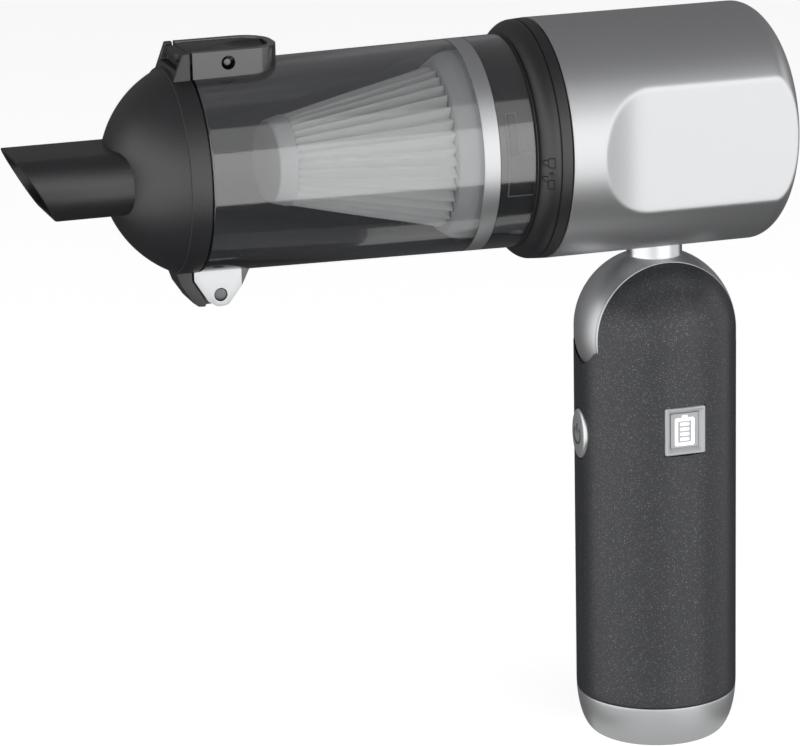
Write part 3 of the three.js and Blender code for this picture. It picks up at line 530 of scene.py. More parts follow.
display_frame = surface("display_frame", frame_rows(), closed=True, sharp=50)
placed(display_frame, pane_white, "handle", "display_plastic", "display_window")
pane_inset = 1.95
pane_half = window_half[0] - pane_inset, window_half[1] - pane_inset
pane_rows = [square_ring(0.01, 0.01, -22.75, 0.001), square_ring(*pane_half, -22.75, 0.4),
             square_ring(*pane_half, -21.8, 0.4), square_ring(0.01, 0.01, -21.8, 0.001)]
display_pane = surface("display_pane", np.stack(pane_rows))
placed(display_pane, pane_grey, "handle", "display_plastic")

BATTERY_HALF, BATTERY_LINE = (3.05, 4.2), 0.95


def battery_symbol():
    """The symbol's outline is a ring swept round a rectangle; four bars and a cap are slabs."""
    outer, depth = BATTERY_HALF, (-23.0, -22.6)
    lower = window_z - 0.35
    rings = []
    for inset, y in ((0, depth[1]), (0, depth[0]), (BATTERY_LINE, depth[0]), (BATTERY_LINE, depth[1])):
        half = outer[0] - inset, outer[1] - inset
        ring = square_ring(*half, y, max(0.5 - inset / 2, 0.2))
        ring[:, 2] += lower - window_z
        rings.append(ring)
    outline = surface("battery_symbol", np.stack(rings), closed=True)
    bars = [(0.85, lower + outer[1] + 0.35, 0.42)]
    pitch = 2 * (outer[1] - BATTERY_LINE) / 4.3
    bars += [(1.42, lower - outer[1] + BATTERY_LINE + pitch * (i + 0.66), 0.46) for i in range(4)]
    slabs = [prism("battery_bar", rounded(rectangle(window_x - w, z - h, window_x + w, z + h),
                                          0.15, 3, closed=True), *depth, 1) for w, z, h in bars]
    return joined("battery_symbol", [outline, *slabs])


def joined(name, things):
    """Several loose solids as one piece."""
    work = bmesh.new()
    for thing in things:
        work.from_mesh(thing.data)
        bpy.data.objects.remove(thing)
    mesh = bpy.data.meshes.new(name)
    work.to_mesh(mesh)
    work.free()
    shade(mesh, 35)
    whole = bpy.data.objects.new(name, mesh)
    bpy.context.scene.collection.objects.link(whole)
    return whole


placed(battery_symbol(), symbol_white, "handle", "display_plastic")

# ---- Power button: a domed oval key of silver plastic with a pressed-in power symbol ------------
# It travels into the handle against a small switch. The symbol is a broken ring and a stroke.
key_silver = moulded_material("key_silver", (0.76, 0.765, 0.77), 0.3, 0.75, 0.2, 0.006, 0.05)
symbol_dark = moulded_material("symbol_dark", (0.05, 0.05, 0.055), 0.5, 0.0, 0.2, 0.01)
key_low, key_high = box_mm("power_button")
KEY_CROWN = ((1.0, -0.0), (0.995, 0.35), (0.96, 0.6), (0.88, 0.78), (0.7, 0.93), (0.4, 1.0), (0.0, 1.0))


def key_rows():
    """Ovals that shrink towards the crown: each row is (share of the oval, share of the rise)."""
    rise = 0.9
    rows = [(0.0, key_high[0]), (0.9, key_high[0]), (1.0, key_high[0] - 0.2)]
    rows += [(share, key_low[0] + rise * (1 - up)) for share, up in KEY_CROWN]
    flat = oval((0, 0), (1, 1), 96)
    return np.stack([np.column_stack((np.full(len(flat), x), flat[:, 0] * BUTTON_HALF[0] * share,
                                      button_z + flat[:, 1] * BUTTON_HALF[1] * share))
                     for share, x in rows])


def tube(name, path, width, columns=10, loop=False):
    """A round bar of the given half-width along a path: at each point a circle stands across the
    path, on the path's side direction and the direction square to both."""
    path = np.asarray(path, float)
    run = np.roll(path, -1, 0) - np.roll(path, 1, 0) if loop else np.gradient(path, axis=0)
    run /= np.linalg.norm(run, axis=1, keepdims=True)
    spread = path.max(0) - path.min(0)
    steady = np.eye(3)[np.argmin(spread)]
    side = np.cross(run, steady)
    side /= np.linalg.norm(side, axis=1, keepdims=True)
    other = np.cross(run, side)
    t = round_steps(columns)
    rings = (path[:, None] + width * (np.cos(t)[None, :, None] * side[:, None]
                                      + np.sin(t)[None, :, None] * other[:, None]))
    if not loop:
        ends = [np.repeat(path[i][None, None], columns, 1) for i in (0, -1)]
        rings = np.concatenate((ends[0], rings, ends[1]))
    return surface(name, rings, closed=loop)


power_key = surface("power_key", key_rows())
placed(power_key, key_silver, "power_button", "silver_paint", "power_button")
POWER_R = 2.5


def power_symbol():
    """A ring that is open for 70 degrees at its top, and a stroke that stands in the gap."""
    ring = arc((0, button_z - 0.4), (POWER_R, POWER_R), 125, 415, 40)
    stroke = np.column_stack((np.zeros(6), np.linspace(button_z + 0.4, button_z + 3.1, 6)))
    bars = []
    for name, flat in (("power_ring", ring), ("power_stroke", stroke)):
        depth = key_low[0] + 0.08 + 0.02 * np.abs(flat[:, 0])
        bars.append(tube(name, np.column_stack((depth, flat)), 0.34))
    return joined("power_symbol", bars)


placed(power_symbol(), symbol_dark, "power_button", "silver_paint")

# ---- Hub: a die-cast silver slice of a ball that turns in the handle's pocket -------------------
# The neck's spigot is pressed into its top. Its rims are broken by a small rounding.
hub_half = box_mm("hub_ball")[1][1]
hub_rim = 0.8


def hub_profile():
    """Half a slice as (y, radius): the side face, the rounded rim, then the ball's own curve."""
    edge = np.degrees(np.arcsin((hub_half - hub_rim) / hub_r))
    curve = arc((0, 0), (hub_r, hub_r), -edge, edge, 40)[:, ::-1]
    rim_r = curve[0, 1]
    corner = rounded([(-hub_half, rim_r - 3), (-hub_half, rim_r - 0.15), curve[0]], hub_rim)
    flip = corner[::-1] * (-1, 1)
    return [(-hub_half, 0), *corner[:-1], *curve, *flip[1:], (hub_half, 0)]


hub_slice = surface("hub_slice", turned(hub_profile(), 1, (0, pivot_z)))
combined(hub_slice, [rod("axle_hole", (-20, 20), 4.25, (0, pivot_z))], sharp=28)
placed(hub_slice, silver_paint, "head", "silver_paint", "hub_ball")

# ---- Neck: a turned and polished aluminium tube between the hub and the motor shell -------------
# Its flange is screwed inside the shell, and its lower end is pressed into the hub.
polished = moulded_material("polished_metal", (0.80, 0.805, 0.81), 0.28, 1.0, 0.15, 0.002, 0.05)
neck_low, neck_high = box_mm("neck_tube")
NECK_R, NECK_BORE = 8.15, 4.2
neck_profile = rounded([(neck_low[2], NECK_BORE), (neck_low[2], 6), (pivot_z + hub_r - 3.2, 6),
                        (pivot_z + hub_r - 3.2, NECK_R), (neck_high[2] - 2, NECK_R),
                        (neck_high[2] - 2, 11), (neck_high[2], 11), (neck_high[2], NECK_BORE)],
                       0.25, closed=True)
neck_sleeve = surface("neck_sleeve", turned(neck_profile, 2, columns=96), closed=True)
placed(neck_sleeve, polished, "head", "neck_metal", "neck_tube")

# ---- Motor shell: a silver housing, turned in form, with a worked flat on each side -------------
# The flats start with a slope behind the front edge. The back is rounded and holds the vent.
motor_low, motor_high = box_mm("motor_shell")
axis_z = (motor_low[2] + motor_high[2]) / 2
motor_r = 34.83
CROWN = (10.68, 19.4)
SHELL_WALL, VENT_R = 2.0, 14.3
FLAT_Y, FLAT_RUN = 29.8, (-27.5, -12.0)
FLAT_EDGE = 170  # the power mean that joins round and flat: the higher, the crisper the edge


def motor_profile():
    """Closed (x, radius, inset): front rim, outside, crown and vent edge, then back inside."""
    front, back = motor_low[0], motor_high[0]
    crown = arc((back - CROWN[0], motor_r - CROWN[1]), CROWN, 90, 0, 56)
    inner = arc((back - CROWN[0], motor_r - CROWN[1]),
                (CROWN[0] - SHELL_WALL, CROWN[1] - SHELL_WALL), 0, 90, 12)
    along = np.concatenate((np.linspace(front + 1.5, FLAT_RUN[0] - 1, 5),
                            np.linspace(FLAT_RUN[0] - 0.2, FLAT_RUN[1], 46),
                            np.linspace(FLAT_RUN[1] + 1.5, back - CROWN[0] - 0.5, 14)))
    body = np.column_stack((along, np.full(len(along), motor_r)))
    rim = rounded([(front, motor_r - SHELL_WALL), (front, motor_r), body[0]], 0.35)[1:-1]
    vent = rounded([crown[-1], (back, VENT_R), (back - SHELL_WALL, VENT_R)], 0.4)[1:-1]
    outside = np.concatenate((rim, body, crown, vent))
    inside = np.concatenate(([(back - SHELL_WALL, VENT_R)], inner,
                             np.column_stack((np.linspace(back - 12, front, 30),
                                              np.full(30, motor_r - SHELL_WALL)))))
    inset = np.repeat((0.0, SHELL_WALL), (len(outside), len(inside)))
    return np.column_stack((np.concatenate((outside, inside)), inset))


def motor_grid():
    """The turned profile drawn in to the flats. With the flat's distance d(x), which eases in as
    1 - (1 - s)^2, each radius r becomes the power mean of r and d/|cos t|, of order -p."""
    x, radius, inset = motor_profile().T[..., None]
    t = round_steps(480)
    share = np.clip((x - FLAT_RUN[0]) / (FLAT_RUN[1] - FLAT_RUN[0]), 0, 1)
    flat = motor_r - (motor_r - FLAT_Y) * (1 - (1 - share) ** 2) - inset
    reach = np.where(share > 0, flat, 2 * motor_r) / np.maximum(np.abs(np.cos(t)), 1e-3)
    least, most = np.minimum(radius, reach), np.maximum(radius, reach)
    radius = least * (1 + (least / most) ** FLAT_EDGE) ** (-1 / FLAT_EDGE)
    return np.stack((x + 0 * t, radius * np.cos(t), axis_z + radius * np.sin(t)), -1)


motor_casing = surface("motor_casing", motor_grid(), closed=True, sharp=60)
placed(motor_casing, silver_paint, "head", "silver_paint", "motor_shell")

# ---- Exhaust grille: a round black insert of ribs and rings in the back of the shell -----------
# It clips into the vent's edge. Grey foam behind it stops fine dust.
black_plastic = moulded_material("black_textured", (0.018, 0.0185, 0.020), 0.36, 0.0, 0.28, 0.08, 0.35,
                                 specular=0.8)
gloss_black = moulded_material("black_gloss", (0.018, 0.0185, 0.020), 0.22, 0.0, 0.28, 0.004, 0.1,
                               0.5, 0.8)
GRILLE_RIBS, GRILLE_R = 24, VENT_R - 0.3
grille_x = motor_high[0] - 0.4


def ring_of(name, inner, outer, x0, x1, columns=96):
    """A flat ring with softened edges about the barrel's axis."""
    profile = rounded([(x0, inner), (x0, outer), (x1, outer), (x1, inner)], 0.25, 4, closed=True)
    return surface(name, turned(profile, 0, (0, axis_z), columns), closed=True)


def grille():
    """A rim, a middle ring, a domed button and ribs that run out from it."""
    parts = [ring_of("rim", GRILLE_R - 1.3, GRILLE_R, grille_x - 1.6, grille_x + 0.2),
             ring_of("ring", 8.2, 9.0, grille_x - 1.4, grille_x - 0.1)]
    button = [(grille_x - 1.6, 0), (grille_x - 1.6, 3.2),
              *arc((grille_x - 0.6, 0), (0.9, 3.4), 80, 0, 10)]
    parts.append(surface("button", turned(button, 0, (0, axis_z), 48)))
    for i in range(GRILLE_RIBS):
        turn = 2 * np.pi * i / GRILLE_RIBS
        out, across = np.array((np.cos(turn), np.sin(turn))), np.array((-np.sin(turn), np.cos(turn)))
        corners = [out * 2.8 - across * 0.28, out * (GRILLE_R - 1) - across * 0.42,
                   out * (GRILLE_R - 1) + across * 0.42, out * 2.8 + across * 0.28]
        parts.append(prism("rib", np.array(corners) + (0, axis_z), grille_x - 1.5, grille_x - 0.2, 0))
    return joined("vent_grille", parts)


placed(grille(), black_plastic, "head", "black_plastic", "exhaust_grille")

# ---- Adapter ring: the black collar between shell and bin, with the bayonet's sleeve in front ---
# Small raised signs on its slope show the locked and open places of the bin.
ring_front = -46.9
SLEEVE_R = 28.3


def adapter_profile():
    """Closed (x, radius): sleeve, stop face, convex slope, groove, level band, and back inside."""
    slope = arc((-41.6, 27.0), (5.15, 7.55), 162, 92, 14)
    outer = rounded([(ring_front, SLEEVE_R), (ring_front, 31.1), slope[2]], 0.2)
    band = rounded([slope[-1], (-41.25, 34.5), (-41.1, 34.1), (-40.9, 34.1), (-40.75, 34.62),
                    (-37.9, 34.8), (-37.66, 34.5), (-37.66, 32.5)], 0.08, 3)
    inner = [(-30.2, 32.5), (-30.2, 30.5), (-42.5, 30.5), (-42.5, 20), (-45, 20), (-45, 26.3),
             (-57.4, 26.3), (-57.4, SLEEVE_R)]
    return np.concatenate((outer[:-1], slope[2:-1], band, inner))


adapter_collar = surface("adapter_collar", turned(adapter_profile(), 0, (0, axis_z), 200), closed=True)
lug_span, lug_start = 22, 154
for third in (0, 120, 240):
    turns = np.linspace(lug_start + third, lug_start + third + lug_span, 12)
    outline = np.concatenate([arc((0, axis_z), (r, r), *ends, 12) for r, ends in
                              ((SLEEVE_R - 1, (turns[0], turns[-1])), (29.5, (turns[-1], turns[0])))])
    combined(adapter_collar, [prism("lug", outline, -54.4, -52.2, 0)], "UNION")
placed(adapter_collar, black_plastic, "head", "black_plastic", "adapter_ring")


def on_slope(flat, lift=0.0):
    """Bends flat marks onto the adapter's slope: (x, turn in mm upwards) becomes a point at the
    slope's radius there, on the near side, at an angle of turn / radius above level."""
    x, up = flat[:, 0], flat[:, 1]
    share = np.clip((x + 41.6) / -5.15, -1, 1)
    radius = 27.0 + 7.55 * np.sqrt(1 - share**2) + lift
    angle = up / 33
    return np.column_stack((x, -radius * np.cos(angle), axis_z + radius * np.sin(angle)))


def lock_sign(name, up, shift):
    """A padlock lying on its side: a square body and a shackle, moved by shift where it is open."""
    body = rounded(rectangle(-44.6, up - 1.3, -43.0, up + 1.3), 0.25, 3, closed=True)
    shackle = arc((-44.6, up + shift), (1.2, 0.85), 90, 270, 14)
    return [tube(name + "_body", on_slope(body, 0.02), 0.16, 8, loop=True),
            tube(name + "_shackle", on_slope(shackle, 0.02), 0.16, 8)]


def arrow_sign(up):
    head = np.array([(-44.5, up - 0.2), (-43.8, up + 0.7), (-43.1, up - 0.2)])
    stem = np.array([(-43.8, up - 0.9), (-43.8, up - 0.2), (-43.8, up + 0.6)])
    return [tube("arrow_head", on_slope(head, 0.02), 0.16, 8),
            tube("arrow_stem", on_slope(stem, 0.02), 0.16, 8)]


signs = joined("lock_signs", lock_sign("locked", 0.0, 0) + arrow_sign(-3.1)
               + lock_sign("open", -6.2, 1.4))
# The raised signs are the ring's own black plastic. Their darker black is painted shade, for the
# shading round the raised marks.
placed(signs, moulded_material("sign_painted_shade", (0.006, 0.006, 0.007), 0.35, 0.0, 0.3, 0.0), "head",
       "black_plastic")

# ---- Dust bin: a clear smoked tube, slightly wider at the back, with a silver band let into it --
# The L-shaped tracks of the bayonet show as fine ribs in the clear wall behind the band.
smoke, smoke_tree, smoke_finish = shader("smoked_clear")
POLISH_FROM = 29.05  # only the outside is polished: this far from the barrel's axis, in the wall
smoke_place = add(smoke_tree, "TexCoord").outputs["Object"]
smoke_from_axis = add(smoke_tree, "VectorMath", {0: smoke_place, 1: (0, 0, axis_z * MM)},
                      operation="SUBTRACT")
smoke_across = add(smoke_tree, "VectorMath", {0: smoke_from_axis.outputs[0], 1: (0, 1, 1)},
                   operation="MULTIPLY")
smoke_radius = add(smoke_tree, "VectorMath", {0: smoke_across.outputs[0]}, operation="LENGTH")
smoke_flow = add(smoke_tree, "TexNoise", {"Vector": smoke_place, "Scale": 30.0, "Detail": 2.0})
smoke_bump = add(smoke_tree, "Bump", {"Height": smoke_flow.outputs[0], "Distance": 0.04 * MM})
smoke_scratch = add(smoke_tree, "TexNoise", {"Vector": smoke_place, "Scale": 900.0})
smoke_haze = add(smoke_tree, "MapRange", {0: smoke_scratch.outputs[0], 3: 0.015, 4: 0.05})
wire(smoke_tree, smoke_finish, {
    "Base Color": (0.63, 0.635, 0.645, 1), "Transmission Weight": 1.0, "IOR": 1.49,
    "Roughness": smoke_haze.outputs[0], "Normal": smoke_bump.outputs[0], "Coat IOR": 1.9,
    "Coat Weight": maths(smoke_tree, "GREATER_THAN", smoke_radius.outputs["Value"], POLISH_FROM * MM),
    "Coat Roughness": 0.1})
smoke_pass = add(smoke_tree, "BsdfTransparent", {"Color": (0.95, 0.95, 0.95, 1)})
smoke_choice = add(smoke_tree, "MixShader", {0: add(smoke_tree, "LightPath").outputs["Is Shadow Ray"],
                                             1: smoke_finish.outputs[0], 2: smoke_pass.outputs[0]})
wire(smoke_tree, smoke_tree.nodes["Material Output"], {"Surface": smoke_choice.outputs[0]})

bin_low, bin_high = box_mm("bin_shell")
BIN_R = (29.3, 30.78)
BIN_WALL = 2.0
BAND_SEAT_R = 29.8
band_low, band_high = box_mm("bin_band")


def bin_radius(x):
    share = (np.asarray(x) - bin_low[0]) / (bin_high[0] - bin_low[0])
    return BIN_R[0] + (BIN_R[1] - BIN_R[0]) * share


def bin_profile():
    """Closed (x, radius): along the outside with a seat for the band, and back along the inside."""
    x0, x1 = band_low[0] - 0.05, band_high[0] + 0.05
    outside = [(bin_low[0], BIN_R[0]), (x0, bin_radius(x0)), (x0, BAND_SEAT_R), (x1, BAND_SEAT_R),
               (x1, bin_radius(x1)), (bin_high[0], BIN_R[1])]
    inside = [(bin_high[0], BIN_R[1] - BIN_WALL), (bin_low[0], BIN_R[0] - BIN_WALL)]
    return rounded(outside + inside, (0.45, 0, 0, 0, 0, 0.3, 0.3, 0.3), closed=True)


dust_bin = surface("dust_bin", turned(bin_profile(), 0, (0, axis_z), 200), closed=True)
placed(dust_bin, smoke, "bin", "smoky_clear", "bin_shell")

TRACK_X = (-54.9, -51.9)


def bayonet_track(third):
    """The edges of one L-shaped track, as thin ribs on the wall's inside: the closed end, the run
    round the wall and the mouth that is open to the back."""
    start, mouth, end = (np.radians(a + third) for a in (lug_start - 1.5, 174.5, 199.5))
    x0, x1 = TRACK_X
    corners = [((x1, mouth), (x1, start)), ((x1, start), (x0, start)), ((x0, start), (x0, end)),
               ((x0, end), (bin_high[0] - 0.3, end)), ((bin_high[0] - 0.3, mouth), (x1, mouth))]
    ribs = []
    for (xa, ta), (xb, tb) in corners:
        t = np.linspace(0, 1, 14)
        x, angle = xa + (xb - xa) * t, ta + (tb - ta) * t
        r = bin_radius(x) - BIN_WALL + 0.1
        path = np.column_stack((x, r * np.cos(angle), axis_z + r * np.sin(angle)))
        ribs.append(tube("rib", path, 0.22, 8))
    return ribs


tracks = joined("bayonet_tracks", sum((bayonet_track(third) for third in (0, 120, 240)), []))
placed(tracks, moulded_material("track_grey", (0.16, 0.165, 0.17), 0.3, 0.0, 0.3, 0.0), "bin",
       "smoky_clear")

band_profile = rounded([(band_low[0], 29.9), (band_low[0], bin_radius(band_low[0]) + 0.02),
                        (band_high[0], bin_radius(band_high[0]) + 0.02), (band_high[0], 29.9)],
                       0.2, closed=True)
silver_band = surface("silver_band", turned(band_profile, 0, (0, axis_z), 200), closed=True)
placed(silver_band, silver_paint, "bin", "silver_paint", "bin_band")

# ---- Filter: a cone of folded white filter cloth between a cap and a plastic collar ------------
# The folds run along the cone; glue holds their ends in the cap and in the collar.
cloth_white, cloth_tree, cloth_finish = shader("filter_cloth")
cloth_place = add(cloth_tree, "TexCoord").outputs["Object"]
cloth_fibre = add(cloth_tree, "TexNoise", {"Vector": cloth_place, "Scale": 1500.0, "Detail": 5.0})
cloth_cloud = add(cloth_tree, "TexNoise", {"Vector": cloth_place, "Scale": 120.0, "Detail": 3.0})
cloth_mix = maths(cloth_tree, "MULTIPLY", cloth_fibre.outputs[0], cloth_cloud.outputs[0])
cloth_bump = add(cloth_tree, "Bump", {"Height": cloth_fibre.outputs[0], "Distance": 0.06 * MM})
wire(cloth_tree, cloth_finish,
     {"Base Color": ramp(cloth_tree, cloth_mix, (0.78, 0.78, 0.77), (0.93, 0.93, 0.92)),
      "Normal": cloth_bump.outputs[0], "Roughness": 0.9, "Sheen Weight": 0.25})

FOLDS, FOLD_DEPTH, FOLD_WALL = 36, 3.3, 0.5
cone_low, cone_high = box_mm("filter_pleats")
CONE_R = (13.0, 23.0)


def fold_wave(t):
    """A folded line round the cone: an arcsine of a cosine, which is a zigzag with soft tips."""
    return np.arcsin(0.93 * np.cos(FOLDS * t)) / np.arcsin(0.93) / 2 - 0.5


def pleated_grid():
    """Rows along the cone on its outside and back on its inside. The radius at a share s of the
    cone and an angle t is r(s) + depth(s) x fold_wave(t), and the folds deepen with s."""
    columns = FOLDS * 16
    t = round_steps(columns)
    share = np.linspace(0, 1, 12)
    s = np.concatenate((share, share[::-1]))[:, None]
    inset = np.repeat((0.0, FOLD_WALL * 1.6), len(share))[:, None]
    depth = FOLD_DEPTH * (0.55 + 0.45 * s)
    wander = 0.12 * np.sin(FOLDS * t * 0.5 + 4 * s) * np.sin(np.pi * s)
    radius = CONE_R[0] + (CONE_R[1] - CONE_R[0]) * s + depth * fold_wave(t) + wander - inset
    x = cone_low[0] + (cone_high[0] - cone_low[0]) * s + 0 * t
    return np.stack((x, radius * np.cos(t), axis_z + radius * np.sin(t)), -1)


folded_cloth = surface("folded_cloth", pleated_grid(), closed=True, sharp=80)
placed(folded_cloth, cloth_white, "head", "filter_cloth", "filter_pleats")

cap_white = moulded_material("filter_plastic", (0.74, 0.745, 0.74), 0.45, 0.0, 0.3, 0.01, 0.06)
end_low, end_high = box_mm("filter_end_cap")
end_profile = rounded([(end_low[0], 0), (end_low[0], 11.9), (end_high[0] - 0.2, 13.3),
                       (end_high[0], 12.9), (end_high[0], 0)], (0, 0.9, 0.4, 0.2, 0))
placed(surface("filter_cap", turned(end_profile, 0, (0, axis_z), 96)), cap_white, "head",
       "white_plastic", "filter_end_cap")
collar_profile = rounded([(-68, 19.5), (-68, 24.2), (-65, 26.3), (-63, 26.8), (-59.2, 26.8),
                          (-59.2, 26), (-47.5, 26), (-47.5, 24), (-60, 24), (-64, 19.5)],
                         0.5, closed=True)
placed(surface("filter_rim", turned(collar_profile, 0, (0, axis_z), 128), closed=True), cap_white,
       "head", "white_plastic", "filter_collar")

# ---- Latch: a black housing on the bin, with a rocker on a steel pin ---------------------------
# Pressing the rocker's back end lifts its front end off the catch on the nose.
latch_low, latch_high = box_mm("latch_housing")
LATCH_HALF, LATCH_CORNER, LATCH_WALL = 10.5, 8.5, 2.2
latch_top = latch_high[2]
latch_back = latch_high[0]
pin_low, pin_high = box_mm("latch_pin")
latch_pin_x, latch_pin_z = (pin_low[0] + pin_high[0]) / 2, (pin_low[2] + pin_high[2]) / 2


def latch_plan(margin, front):
    """The housing's plan drawn in by a margin: straight sides, round back corners, (x, y)."""
    half, corner = LATCH_HALF - margin, LATCH_CORNER - margin
    x, y = latch_back - margin - corner, half - corner
    return np.concatenate(([(front, half), (front, -half)], arc((x, -y), (corner, corner), -90, 0, 24),
                           arc((x, y), (corner, corner), 0, 90, 24)))


def bin_core(name, margin):
    """A rod as thick as the bin plus a margin, to hollow what sits on it."""
    ends = np.array([-165.0, -100.0])
    side = [(x, bin_radius(x) + margin) for x in ends]
    return surface(name, turned([(ends[0], 0), *side, (ends[1], 0)], 0, (0, axis_z), 200))


latch_box = prism("latch_box", latch_plan(0, latch_low[0]), axis_z + 24, latch_top, 2)
combined(latch_box, [prism("latch_well", latch_plan(LATCH_WALL, -150), axis_z + 10, axis_z + 45, 2),
                     bin_core("bin_core", 0.02)])
softened(latch_box, 0.45, steps=3)
combined(latch_box, [rod("pin_hole", (-20, 20), 2.0, (latch_pin_x, latch_pin_z))])
placed(latch_box, gloss_black, "bin", "black_plastic", "latch_housing")

rocker = prism("latch_rocker", latch_plan(LATCH_WALL + 0.3, latch_low[0] - 0.4), axis_z + 32.4,
               latch_top - 0.35, 2)
tongue_low = box_mm("latch_lever")[0]
combined(rocker, [prism("tongue", rectangle(tongue_low[0], -6.5, -140.5, 6.5), axis_z + 32.4,
                        latch_top - 0.6, 2)], "UNION")


def thumb_dish():
    """A shallow dish for the fingertip in the rocker's back end: an ellipsoid above the plate."""
    t = np.linspace(0, np.pi, 25)
    profile = np.column_stack((latch_top + 3.2 - 4.6 * np.cos(t), 11.5 * np.sin(t)))
    dish = turned(profile, 2, (-121.5, 0), 96)
    dish[..., 1] *= 0.62
    return surface("dish", dish)


combined(rocker, [thumb_dish()])
softened(rocker, 0.3, steps=2)
placed(rocker, black_plastic, "latch", "black_plastic", "latch_lever")

steel = moulded_material("steel", (0.50, 0.51, 0.52), 0.28, 1.0, 0.12, 0.003, 0.12)
dark_steel = moulded_material("dark_steel", (0.16, 0.165, 0.17), 0.35, 0.9, 0.12, 0.003, 0.12)


def pin(name, node, radius, dome):
    """A pin along Y with slightly domed ends."""
    low, high = box_mm(node)
    ends = arc((high[1] - dome, 0), (dome, radius), 90, 0, 8)
    profile = np.concatenate((ends[::-1] * (-1, 1), ends))
    centre = (low[0] + high[0]) / 2, (low[2] + high[2]) / 2
    return surface(name, turned(profile, 1, centre, 48))


placed(pin("latch_axle", "latch_pin", 1.1, 0.3), dark_steel, "bin", "steel", "latch_pin")

# ---- Hinge: a cast silver bracket under the bin, with a dark steel pin --------------------------
# Two ears hold the pin; a gusset runs back from them along the bin.
HINGE_HALF, EAR = 5.5, 2.0
hinge_low, hinge_high = box_mm("hinge_pin")
hinge_x, hinge_z = (hinge_low[0] + hinge_high[0]) / 2, (hinge_low[2] + hinge_high[2]) / 2


def local(points):
    """Points given about the barrel's axis, as points of the part."""
    return np.asarray(points, float) + (0, axis_z)


ear_outline = rounded(local([(-141.1, -27), (-141.1, -31.3), (-137.2, -37.6), (-134.6, -39.3),
                             (-131.4, -39.1), (-127, -33.5), (-124.2, -29.8), (-124.2, -27)]),
                      (0, 0.4, 1.2, 2.2, 2.2, 0.5, 0.3, 0), closed=True)
bracket = prism("hinge_block", ear_outline, -HINGE_HALF, HINGE_HALF, 1)
taper = [(-145, -HINGE_HALF), (-145, HINGE_HALF), (-127.3, HINGE_HALF), (-124.2, 2.8),
         (-124.2, -2.8), (-127.3, -HINGE_HALF)]
combined(bracket, [prism("plan", taper, axis_z - 60, axis_z, 2)], "INTERSECT")
combined(bracket, [prism("ear_gap", local(rectangle(-145, -45, -129.6, -31)),
                         -(HINGE_HALF - EAR), HINGE_HALF - EAR, 1),
                   bin_core("bin_core", 0.02)])
softened(bracket, 0.35, steps=3)
combined(bracket, [rod("pin_bore", (-20, 20), 1.95, (hinge_x, hinge_z))])
placed(bracket, silver_paint, "bin", "neck_metal", "hinge_bracket")
placed(pin("hinge_axle", "hinge_pin", 1.75, 0.25), dark_steel, "bin", "steel", "hinge_pin")

# ---- Nose: a black moulded cap with a flat slanted nozzle, and the flap inside it --------------
# It has a plain band next to the bin, then a crease and a ball-shaped front that the nozzle meets.
NOSE_BACK, CAP_WALL = -141.15, 2
CAP_R, CAP_CENTRE, CREASE = 31.6, -133.6, (-147.0, 28.6)
NOZZLE_HALF, NOZZLE_CORNER, NOZZLE_Z, NOZZLE_WALL = (17.0, 8.9), 8.0, -0.4, 1.6
NOZZLE_TIP, NOZZLE_HEEL, DUCT_END = -191.7, -181.5, -151.2


def nose_profile():
    """Closed (x, radius): the ball-shaped front, the crease, the band, and back inside."""
    span = np.degrees(np.arcsin(CREASE[1] / CAP_R))
    front = arc((0, 0), (CAP_R, CAP_R), 0, span, 44) * (-1, 1) + (CAP_CENTRE, 0)
    inner_r = CAP_R - CAP_WALL
    inner = arc((0, 0), (inner_r, inner_r), 60, 0, 24) * (-1, 1) + (CAP_CENTRE, 0)
    band = rounded([front[-1], (CREASE[0] + 0.05, 29.15), (NOSE_BACK, 29.3), (NOSE_BACK, 28.2)],
                   (0, 0.12, 0.35, 0))[1:]
    rebate = [(-143.2, 28.2), (-143.2, 26.2)]
    return [*front, *band, *rebate, *inner]


def rounded_section(inset, x_top, x_bottom, corner_steps=10):
    """One ring of the nozzle: a rounded rectangle in y and z whose x leans from top to bottom."""
    half = NOZZLE_HALF[0] - inset, NOZZLE_HALF[1] - inset
    flat = rounded(rectangle(-half[0], -half[1], half[0], half[1]), NOZZLE_CORNER - inset,
                   corner_steps, closed=True)
    share = (NOZZLE_HALF[1] - flat[:, 1]) / (2 * NOZZLE_HALF[1])
    x = x_top + (x_bottom - x_top) * share
    return np.column_stack((x, flat[:, 0], axis_z + NOZZLE_Z + flat[:, 1]))


def nozzle_grid():
    """Rings from the duct's inner end forward outside, over the slanted lip and back inside."""
    outer = [rounded_section(0, DUCT_END, DUCT_END)]
    outer += [rounded_section(0, x, x) for x in (-160.0, -168.0)]
    lip = [rounded_section(inset, NOZZLE_TIP + back, NOZZLE_HEEL + back)
           for inset, back in ((0, 0.45), (0.12, 0.12), (0.4, 0.0), (NOZZLE_WALL - 0.4, 0.0),
                               (NOZZLE_WALL - 0.12, 0.12), (NOZZLE_WALL, 0.45))]
    inner = [rounded_section(NOZZLE_WALL, x, x) for x in (-168.0, -160.0, DUCT_END)]
    return np.stack(outer + lip + inner)


nose_shell = surface("nose_shell", turned(nose_profile(), 0, (0, axis_z), 192))
duct = prism("duct_hole", rounded_section(NOZZLE_WALL / 2, 0, 0)[:, 1:], -175, -140, 0)
combined(nose_shell, [duct])
nozzle = surface("nozzle", nozzle_grid(), closed=True)

# The catch on top, in line with the latch's housing.
catch_side = local([(-146.6, 24), (-146.5, 26.9), (-143.5, 34.9), (-141.45, 34.9), (-141.45, 24)])
catch = prism("catch", rounded(catch_side, (0, 0.3, 0.5, 0.3, 0), closed=True), -LATCH_HALF,
              LATCH_HALF, 1)
combined(catch, [prism("catch_recess", rectangle(-150, -8.6, -142.9, 8.6), axis_z + 30.0,
                       axis_z + 40, 2),
                 prism("catch_step", rectangle(-150, -8.6, -140, 8.6), axis_z + 31.1, axis_z + 40, 2)])
softened(catch, 0.35, steps=3)

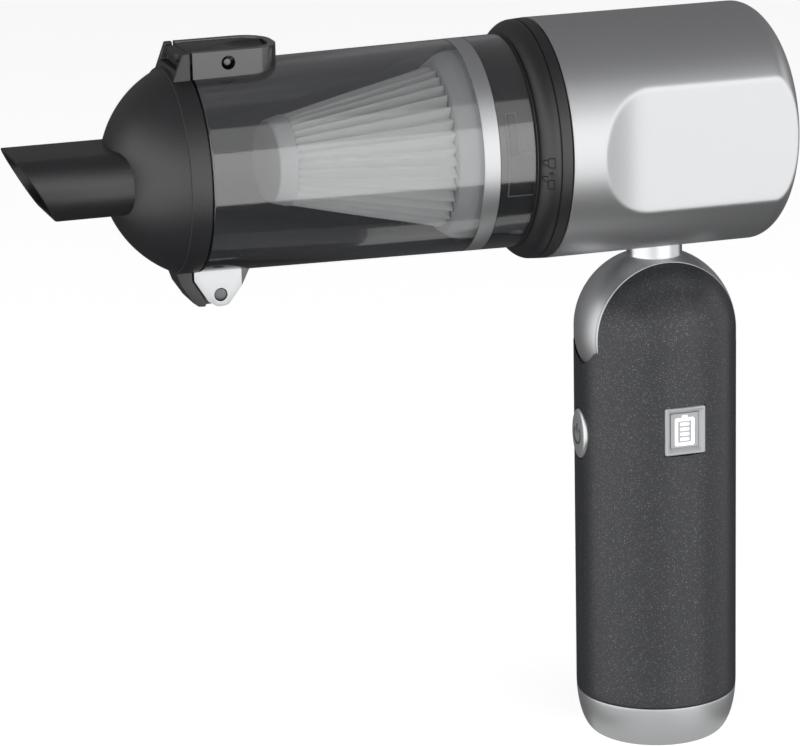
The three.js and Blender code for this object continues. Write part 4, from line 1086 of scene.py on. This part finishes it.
# The hinge's moving half: a cover in front of the bracket and a knuckle between its ears.
cover_outline = rounded(local([(-146.4, -24), (-146.4, -28.5), (-144.9, -32.8), (-141.7, -37.6),
                               (-140, -38.9), (-138.0, -39.05), (-137.7, -37.75), (-141.6, -31.4),
                               (-141.6, -24)]), (0, 1.0, 1.5, 1.5, 0.8, 0.6, 0.3, 0.4, 0), closed=True)
cover = softened(prism("hinge_cover", cover_outline, -HINGE_HALF, HINGE_HALF, 1), 0.4, steps=3)
knuckle_half = HINGE_HALF - EAR - 0.3
arm = prism("hinge_arm", local([(-142.5, -31.6), (-133.5, -33), (-133.5, -38.8), (-138.2, -38.9),
                                (-141, -37.8)]), -knuckle_half, knuckle_half, 1)
knuckle = surface("knuckle", turned(rounded([(-knuckle_half, 0), (-knuckle_half, 2.9),
                                             (knuckle_half, 2.9), (knuckle_half, 0)], 0.3), 1,
                                    (hinge_x, hinge_z), 64))
combined(nose_shell, [nozzle, catch, cover, arm, knuckle], "UNION", sharp=30)
placed(nose_shell, black_plastic, "nose", "black_plastic", "nose_cap")

soft_rubber = moulded_material("soft_rubber", (0.028, 0.028, 0.029), 0.75, 0.0, 0.25, 0.03, 0.2)
seal_low, seal_high = box_mm("nose_seal")
seal_profile = rounded([(seal_low[0], 25.4), (seal_low[0], 27.9), (seal_high[0], 27.9),
                        (seal_high[0], 25.4)], 0.6, closed=True)
placed(surface("nose_gasket", turned(seal_profile, 0, (0, axis_z), 128), closed=True), soft_rubber,
       "nose", "soft_rubber", "nose_seal")

# ---- Parts out of sight: the frame's own solids, each with the finish of its real piece ---------
# Cells, boards, motor, fan and springs keep their plain shapes inside the shells.
finishes = {
    "steel": steel,
    "soft_rubber": soft_rubber,
    "black_plastic": black_plastic,
    "white_plastic": cap_white,
    "flap_silicone": moulded_material("grey_silicone", (0.10, 0.105, 0.11), 0.6, 0.0, 0.4, 0.02, 0.15),
    "circuit_board": moulded_material("circuit_board", (0.012, 0.075, 0.035), 0.4, 0.0, 0.8, 0.03, 0.4),
    "cell_can": moulded_material("cell_wrap", (0.05, 0.20, 0.40), 0.3, 0.0, 0.5, 0.01, 0.08),
    "rotor_copper": moulded_material("copper_winding", (0.55, 0.22, 0.10), 0.35, 1.0, 0.3, 0.08, 0.2),
    "foam": moulded_material("grey_foam", (0.045, 0.045, 0.047), 0.9, 0.0, 0.7, 0.3, 0.4),
}
node_slots = {entry["node"]: entry["material_slot"] for entry in frame["record"]["subparts"]}
for name, node in frame["nodes"].items():
    if not node.hide_render:
        node.data.materials.clear()
        node.data.materials.append(finishes[node_slots[name]])
